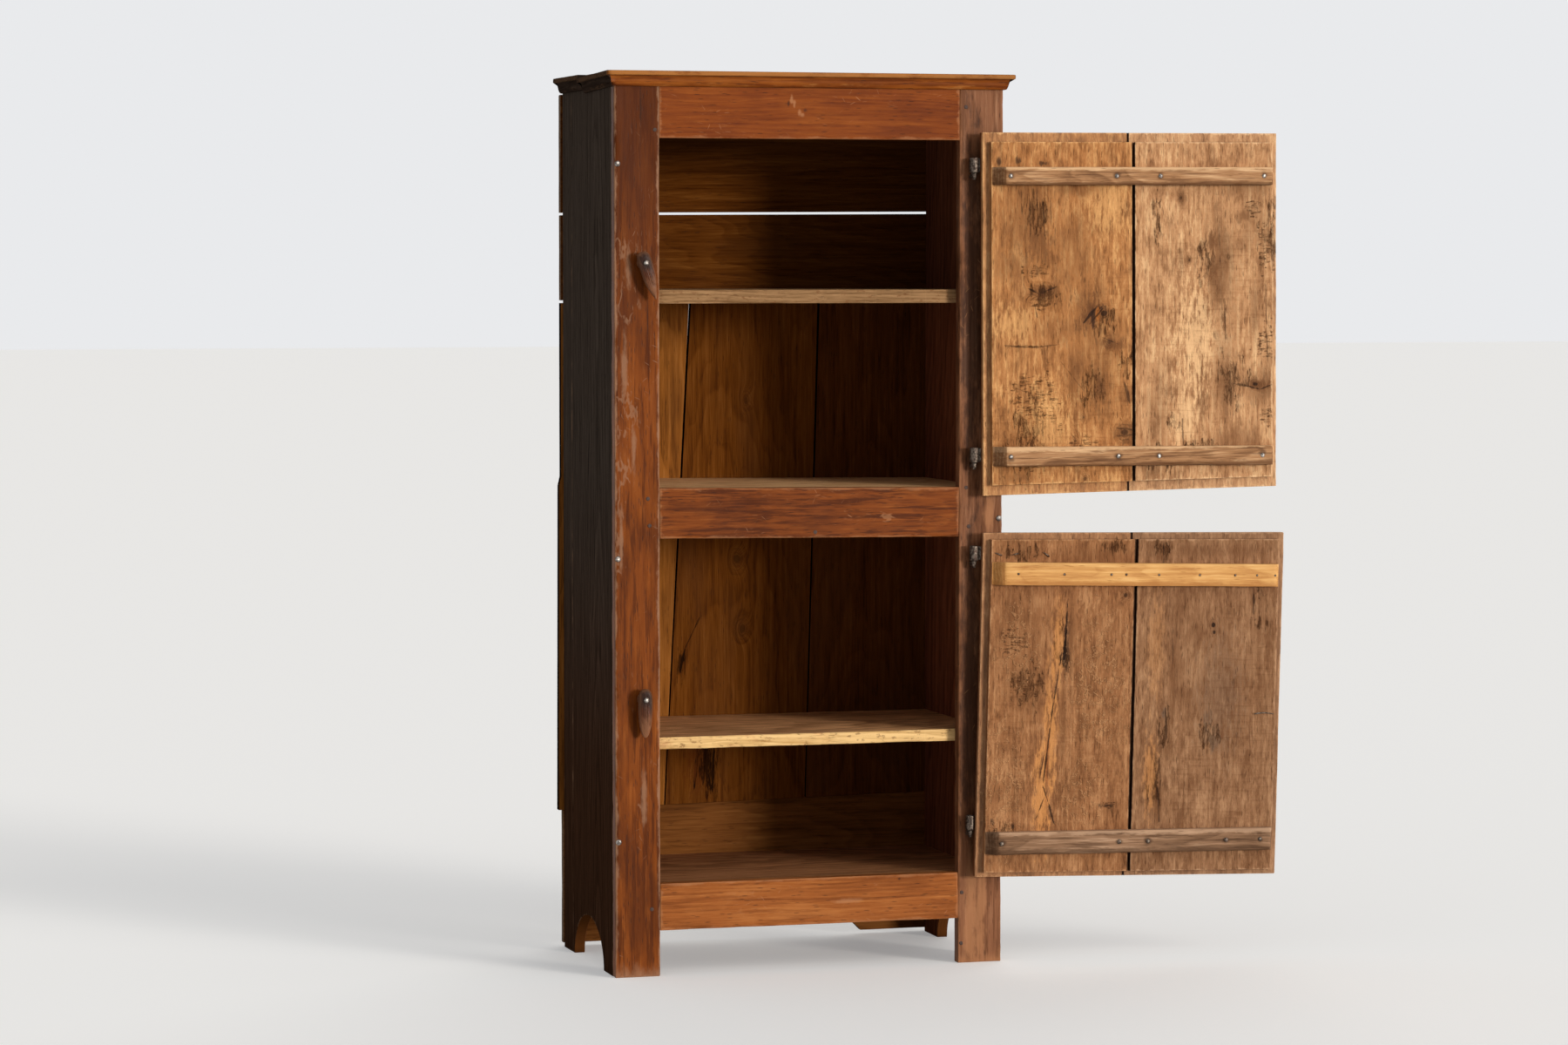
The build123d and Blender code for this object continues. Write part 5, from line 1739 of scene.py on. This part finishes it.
def batten_oak(name, middle_height, half_width, tones, worn, nails):
    """Bare oak, paler along its top from rubbed wear and a painted highlight, with painted shade along its
    foot, darker on its sloped ends, and stained by its nails.
    """
    made = new_material(name)
    own, places, shift = oak_places()
    grain = oak_grain(places, shift, (middle_height, -0.03), ring_width=0.0045, ring_share=0.3, wander=0.05)
    ragged = noise(places, 90, 26, 4.0, 0.65)
    streaks = noise(places, 220, 9, 4.0, 0.6)
    dark, _, pale = tones
    colour = toned(grain, tones, (0.1, 0.6), (0.5, 1.0))
    colour = mix(times(step_up(streaks, 0.52, 0.62), worn), colour, dark)
    place = parts_of(own)
    rise = over(minus(place["X"], middle_height), half_width)
    rise = times_plus(minus(ragged, 0.5), 0.9, rise)
    # Painted shade along the foot of the bar, and along its top a painted highlight with rubbed wear.
    colour = mix(times(step_up(rise, -0.45, -0.85), 0.7), colour, dark)
    colour = mix(times(step_up(rise, 0.55, 0.85), worn), colour, pale)
    sloped = step_up(place["Y"], batten_ends[1] - hinge_bevel - 0.001, batten_ends[1] - hinge_bevel + 0.001)
    sloped = most(sloped, step_up(place["Y"], batten_ends[0] + free_bevel, batten_ends[0]))
    colour = mix(times(sloped, 0.65), colour, dark)
    colour = mix(times(grain["Pores"], 0.5), colour, dark)
    stained = zones_of(own, ragged, nails)
    colour = mix(times(stained, 0.7), colour, mix(0.5, dark, (0.03, 0.015, 0.01)))
    relief = ((grain["Relief"], 0.0006), (grain["Pores"], -0.0003), (ragged, 0.0012))
    return close_wood(made, colour, times_plus(ragged, 0.2, 0.5), 0.08, relief)


old_tones = ((0.105, 0.042, 0.016), (0.37, 0.185, 0.082), (0.76, 0.49, 0.27))
grey_tones = ((0.08, 0.038, 0.018), (0.25, 0.135, 0.073), (0.53, 0.335, 0.21))
new_tones = ((0.4, 0.165, 0.045), (0.66, 0.345, 0.115), (0.87, 0.56, 0.235))
opened = {"upper": upper_open, "lower": lower_open}
battens = (
    ("upper", "top", 1.4625, 0.033, 0.0, old_tones, (30, 241, 329, 540), 121),
    ("upper", "bottom", 0.942, 0.036, -0.75, old_tones, (33, 244, 326, 541), 123),
    ("lower", "top", 0.7305, 0.042, 0.0, new_tones, (18, 54, 97.5, 168, 248.5, 313, 342, 434, 523.5), 125),
    ("lower", "bottom", 0.2315, 0.042, 0.5, grey_tones, (34, 102, 257, 314, 543), 127)
)
for door, part, height, width, turn, tones, nail_distances, seed in battens:
    node = f"{door}_door_{part}_batten"
    arris, worn, stain_size, slot = 0.0026, 0.6, 0.008, "old_batten_oak"
    if tones is new_tones:
        arris, worn, stain_size, slot = 0.0012, 0.2, 0.003, "new_batten_oak"
    mesh = batten_mesh(node, height, width, turn, seed, arris)
    mesh.transform(opened[door])
    nails = [(height, opening_left + away / 1000, stain_size, stain_size) for away in nail_distances]
    oak = batten_oak(node + " oak", height, width / 2, tones, worn, nails)
    new_piece(node + "_timber", mesh, oak, node, door + "_door")


# ---- Nails of the doors ----
# Wrought nails through the battens and the straps, small pins in the new batten, the clenched tips of
# the top strap's nails, and one nail bent over beside the lower door's free edge.
nail_head = (0.0042, 0.0018)
pin_head = (0.0022, 0.0008)
for door in ("upper", "lower"):
    stacks = []
    for its_door, _, height, _, turn, tones, nail_distances, _ in battens:
        for distance in nail_distances if its_door == door else ():
            x = opening_left + distance / 1000
            z = height - (x - door_middle) * math.tan(math.radians(turn))
            size = pin_head if tones is new_tones else nail_head
            stacks.append(nail_stack(x, z, batten_back - 0.0003, 1, *size, nail_draw))
    mesh = stack_mesh(door + " batten nails", stacks)
    mesh.transform(opened[door])
    metal = bright_iron if door == "upper" else dark_iron
    new_piece(
        door + "_batten_nail_heads", mesh, metal, door + "_door_batten_nails", door + "_door"
    )


def bar_stack(points, radius, draw):
    """A thin hammered bar through a few points, drawn out to a tip at its far end."""
    rings = []
    for number, point in enumerate(points):
        here, there = (
            np.array(points[max(number - 1, 0)]), np.array(points[min(number + 1, len(points) - 1)])
        )
        along = (there - here) / np.linalg.norm(there - here)
        side = np.cross(along, (0, 0, 1)) if abs(along[2]) < 0.9 else np.cross(along, (0, 1, 0))
        side /= np.linalg.norm(side)
        share = number / (len(points) - 1)
        rings.append(
            rough_ring(point, radius * (1 - 0.6 * share ** 3), side, np.cross(side, along), 8, draw)
        )
    return rings


clenched_radius = 0.0013
clenched_middle = door_inner + clenched_radius
clenched_height = 0.766
clenched_axis = 0.6391
stacks = []
for away, turn in ((0.04, 20.0), (0.072, -12.0), (0.133, 35.0)):
    x = clenched_axis - away
    reach = Vector((math.cos(math.radians(turn)), 0, math.sin(math.radians(turn)))) * 0.0073
    middle = Vector((x, clenched_middle, clenched_height))
    route = [middle - reach + Vector((0, -0.004, 0)), middle - reach * 0.85, middle, middle + reach]
    stacks.append(bar_stack([tuple(p) for p in route], clenched_radius, nail_draw))
bent_start, bent_height, bent_length = 0.048, 0.468, 0.039
route = [
    (
        bent_start + bent_length * s, clenched_middle + 0.0004 * math.sin(9 * s),
        bent_height + 0.0022 * math.sin(3 * s)
    )
    for s in (0, 0.2, 0.4, 0.6, 0.8, 0.93, 1)
]
stacks.append(bar_stack(route[::-1], clenched_radius, nail_draw))
mesh = stack_mesh("bent nails", stacks)
mesh.transform(lower_open)
new_piece(
    "lower_door_bent_nail_bars", mesh, dark_iron, "lower_door_bent_nails", "lower_door"
)


# ---- Hinges ----
# Each door hangs on two wrought strap hinges. A tapered strap is nailed to the outer face and rolled
# round into an open eye, which drops over a pin; the pin's square shank is driven into the stile.
strap_length = 0.16
strap_thickness = 0.003
strap_heights = (0.014, 0.025, 0.027)
eye_radius = 0.0085
eye_middle = eye_radius - strap_thickness / 2
pin_radius = 0.0044
stub_length = 0.013
shank_half = 0.0035
shank_depth = 0.017
hinge_stand_out = 0.015


def hinge_place(door, height):
    """Where a hinge's axis is at a height, and the axis' own direction."""
    joint = next((j for j in frame["joints"] if j["name"] == door + "_door_hinge"))
    spot, axis = Vector(joint["pos_m"]), Vector(joint["axis"])
    return spot + axis * ((height - spot.z) / axis.z), axis


def strap_stack(spot, axis, draw):
    """A strap from its tip to the end of its rolled eye: a flat bar swept along one bent line."""
    face = lip_front - strap_thickness / 2 - spot.y
    line = [
        (-strap_length - 0.007 + 0.007 * s, face, strap_heights[0] * w)
        for s, w in ((0, 0.3), (0.3, 0.75), (0.7, 0.95))
    ]
    for i in range(15):
        share = i / 14
        line.append((
            -strap_length + (strap_length - 0.02) * share, face,
            strap_heights[0] + (strap_heights[1] - strap_heights[0]) * share
        ))
    line += [(-0.0145, face - 0.0012, strap_heights[1]), (-0.009, -eye_middle * 0.8, strap_heights[1])]
    line += [
        (eye_middle * math.sin(math.radians(t)), -eye_middle * math.cos(math.radians(t)), strap_heights[2])
        for t in range(-22, 301, 14)
    ]
    rings = []
    for number, (x, y, height) in enumerate(line):
        before, after = line[max(number - 1, 0)], line[min(number + 1, len(line) - 1)]
        run = Vector((after[0] - before[0], after[1] - before[1], 0)).normalized()
        across = Vector((-run.y, run.x, 0)) * strap_thickness / 2
        half = height / 2 * draw.uniform(0.985, 1.015)
        ring = []
        for a, b in (
            (1, 0.94), (0.75, 1), (-0.75, 1), (-1, 0.94), (-1, 0.5), (-1, -0.5), (-1, -0.94), (-0.75, -1),
            (0.75, -1), (1, -0.94), (1, -0.5), (1, 0.5)
        ):
            dent = draw.uniform(0.93, 1.02) if number > 20 else draw.uniform(0.9, 1.0)
            ring.append(np.array(spot + Vector((x, y, 0)) + across * a * dent + axis * half * b))
        rings.append(ring)
    return rings


def pintle_stacks(spot, axis, draw):
    """The pin with its tapered foot, and the square shank that goes back into the stile."""
    side, up = Vector((1, 0, 0)), Vector((0, 1, 0))
    low, high = -strap_heights[2] / 2 - 0.0003, strap_heights[2] / 2 - 0.001
    steps = (
        (low - stub_length, 0.7), (low - stub_length * 0.6, 0.85), (low, 1.25), (low + 0.0001, 1.0),
        (high - 0.001, 1.0), (high, 0.75)
    )
    pin = [
        rough_ring(spot + axis * height, pin_radius * share, side, up, 14, draw, 0.02)
        for height, share in steps
    ]
    middle = low - stub_length / 2
    shank = []
    for depth, share in (
        (-0.0035, 0.8), (-0.002, 1.0), (hinge_stand_out, 1.0), (hinge_stand_out + shank_depth, 0.9)
    ):
        half = shank_half * share
        centre = spot + axis * middle + Vector((0, depth, 0))
        corners = ((1, 0.8), (0.8, 1), (-0.8, 1), (-1, 0.8), (-1, -0.8), (-0.8, -1), (0.8, -1), (1, -0.8))
        shank.append([np.array(centre + Vector((half * a, 0, half * b))) for a, b in corners])
    return [pin, shank]


hinge_draw = random.Random(29)
hinge_heights = {"upper": (("bottom", 0.948), ("top", 1.483)), "lower": (("bottom", 0.264), ("top", 0.766))}
strap_nail_distances = (0.04, 0.072, 0.133)
for door, places in hinge_heights.items():
    strap_nails = []
    for part, height in places:
        spot, axis = hinge_place(door, height)
        mesh = stack_mesh(f"{door} {part} strap", [strap_stack(spot, axis, hinge_draw)])
        mesh.transform(opened[door])
        new_piece(
            f"{door}_{part}_strap_and_eye", mesh, dark_iron, f"{door}_door_{part}_strap",
            door + "_door"
        )
        mesh = stack_mesh(f"{door} {part} pintle", pintle_stacks(spot, axis, hinge_draw))
        new_piece(
            f"{door}_{part}_pin_and_shank", mesh, dark_iron, f"{door}_door_{part}_pintle"
        )
        strap_nails += [
            nail_stack(spot.x - away, height, lip_front - strap_thickness, -1, *nail_head, hinge_draw)
            for away in strap_nail_distances
        ]
    mesh = stack_mesh(door + " strap nails", strap_nails)
    mesh.transform(opened[door])
    new_piece(
        door + "_strap_nail_heads", mesh, dark_iron, door + "_door_strap_nails",
        door + "_door"
    )


# ---- Turn buttons ----
# Two whittled wooden buttons that turn on a nail over the edge of a closed door. Each is dark and
# greasy about its nail, with flats left by the knife, and rubbed red and pale towards its tip.
button_front = -0.036
button_back = -0.025
boss_radius = 0.012
boss_face = -0.0113
upper_outline = (
    (-7, 20), (6, 20), (12, 12), (13, 0), (12, -25), (7, -45), (0, -68), (-4, -62), (-11, -40), (-13, -10),
    (-12, 10)
)
lower_outline = (
    (-5, 19), (5, 19), (11, 12), (13, 0), (13, -25), (10, -50), (4, -67), (-4, -67), (-10, -50), (-13, -25),
    (-13, 0), (-11, 12)
)
spine = (8.0, -48.0)


def rounded_outline(corners):
    """A smooth closed line through the corners of an outline, in six steps from each to the next."""
    corners = [Vector(c) for c in corners]
    count = len(corners)
    line = []
    for i in range(count):
        a, b, c, d = (corners[(i + k) % count] for k in (-1, 0, 1, 2))
        for step in range(6):
            t = step / 6
            point = 2 * b + (c - a) * t + (2 * a - 5 * b + 4 * c - d) * t * t
            line.append(0.5 * (point + (3 * b - a - 3 * c + d) * t ** 3))
    return line


def button_mesh(name, x, z, outline, lean, ridge, seed):
    """A whittled button: its outline drawn in towards a spine, with a ridge, on a round foot."""
    draw = random.Random(seed)
    line = rounded_outline(outline)
    depth = (button_back - button_front) * 1000
    steps = (
        (0.0, 0.9), (0.8, 0.98), (depth * 0.45, 1.0), (depth * 0.62, 0.97), (depth * 0.78, 0.86),
        (depth * 0.9, 0.66), (depth * 0.97, 0.42), (depth, 0.18), (depth, 0.03)
    )
    rings = []
    for rise, share in steps:
        ring = []
        for p in line:
            core = Vector((ridge, min(max(p.y, spine[1]), spine[0])))
            flat = core + (p - core) * share
            cut = 0.5 * math.sin(flat.y * 0.17 + flat.x * 0.3 + seed) * (rise / depth) ** 2
            tip = 1 - 0.3 * max(0, (-flat.y - 35) / 33) ** 1.5 * rise / depth
            ring.append((flat.x, flat.y, (rise + min(cut, 0)) * tip))
        rings.append(ring)
    points = np.array(rings)
    angle = math.radians(lean)
    across = points[..., 0] * math.cos(angle) - points[..., 1] * math.sin(angle)
    up = points[..., 0] * math.sin(angle) + points[..., 1] * math.cos(angle)
    placed = np.stack([x + across / 1000, button_back - points[..., 2] / 1000, z + up / 1000], -1)
    foot = []
    for y, share in (
        (button_back + 0.002 - 0.004, 0.95), (button_back + 0.003, 0.97), (boss_face - 0.002, 1.0),
        (boss_face, 0.96)
    ):
        foot.append(rough_ring((x, y, z), boss_radius * share, (1, 0, 0), (0, 0, 1), 20, draw, 0.02))

    def own_places(spots):
        """Across and up from the nail, and depth, turned back out of the lean."""
        side, rise = spots[:, 0] - x, spots[:, 2] - z
        return np.column_stack([
            side * math.cos(angle) + rise * math.sin(angle), rise * math.cos(angle) - side * math.sin(angle),
            spots[:, 1]
        ])

    return stack_mesh(name, [[list(ring) for ring in placed], foot], own_places)


def button_wood(name, red, pale, tip_pale):
    made = new_material(name)
    own, places, _ = oak_places()
    grain = use_group(oak_group, places=places, ring_share=0.2, ring_width=0.003)
    blotch = noise(places, 120, 60, 4.0, 0.65)
    colour = mix(step_up(grain["Figure"], 0.2, 0.9), (0.024, 0.01, 0.006), red)
    up = parts_of(own)["Y"]
    greasy = step_up(times_plus(blotch, 0.025, up), -0.01, 0.008)
    colour = mix(times(greasy, 0.85), colour, (0.022, 0.011, 0.008))
    rubbed = step_up(times_plus(blotch, -0.05, up), -0.045, -0.085)
    colour = mix(times(rubbed, tip_pale), colour, pale)
    worn = step_up(add_node("ShaderNodeNewGeometry").outputs["Pointiness"], 0.51, 0.56)
    colour = mix(times(worn, 0.5), colour, pale)
    relief = ((grain["Relief"], 0.0004), (blotch, 0.0012))
    return close_wood(made, colour, times_plus(blotch, 0.2, 0.3), 0.1, relief)


def washer_stack(x, z, draw):
    """A thin worn washer under the nail's head."""
    rings = []
    for y, radius in (
        (button_front - 0.0003, 0.0047), (button_front - 0.0003, 0.005), (button_front - 0.0011, 0.005),
        (button_front - 0.0013, 0.0046)
    ):
        rings.append(rough_ring((x, y, z), radius, (1, 0, 0), (0, 0, 1), 20, draw, 0.015))
    return rings


for name, x, z, outline, lean, ridge, seed in (
    ("upper", 0.011, 1.303, upper_outline, 18.0, -1.0, 131),
    ("lower", 0.01, 0.51, lower_outline, 0.0, 1.5, 137)
):
    wood = button_wood(name + " button wood", (0.14, 0.036, 0.012), (0.3, 0.13, 0.062), 0.6)
    mesh = button_mesh(name + " button", x, z, outline, lean, ridge, seed)
    new_piece(name + "_button_wood", mesh, wood, name + "_button", name + "_button")
    washer = stack_mesh(name + " washer", [washer_stack(x, z, nail_draw)])
    new_piece(name + "_washer_disc", washer, dark_iron, name + "_button_washer")
    nail = stack_mesh(
        name + " button nail", [nail_stack(x, z, button_front - 0.0013, -1, *nail_head, nail_draw, 0.04)]
    )
    new_piece(name + "_button_nail_bar", nail, bright_iron, name + "_button_nail")
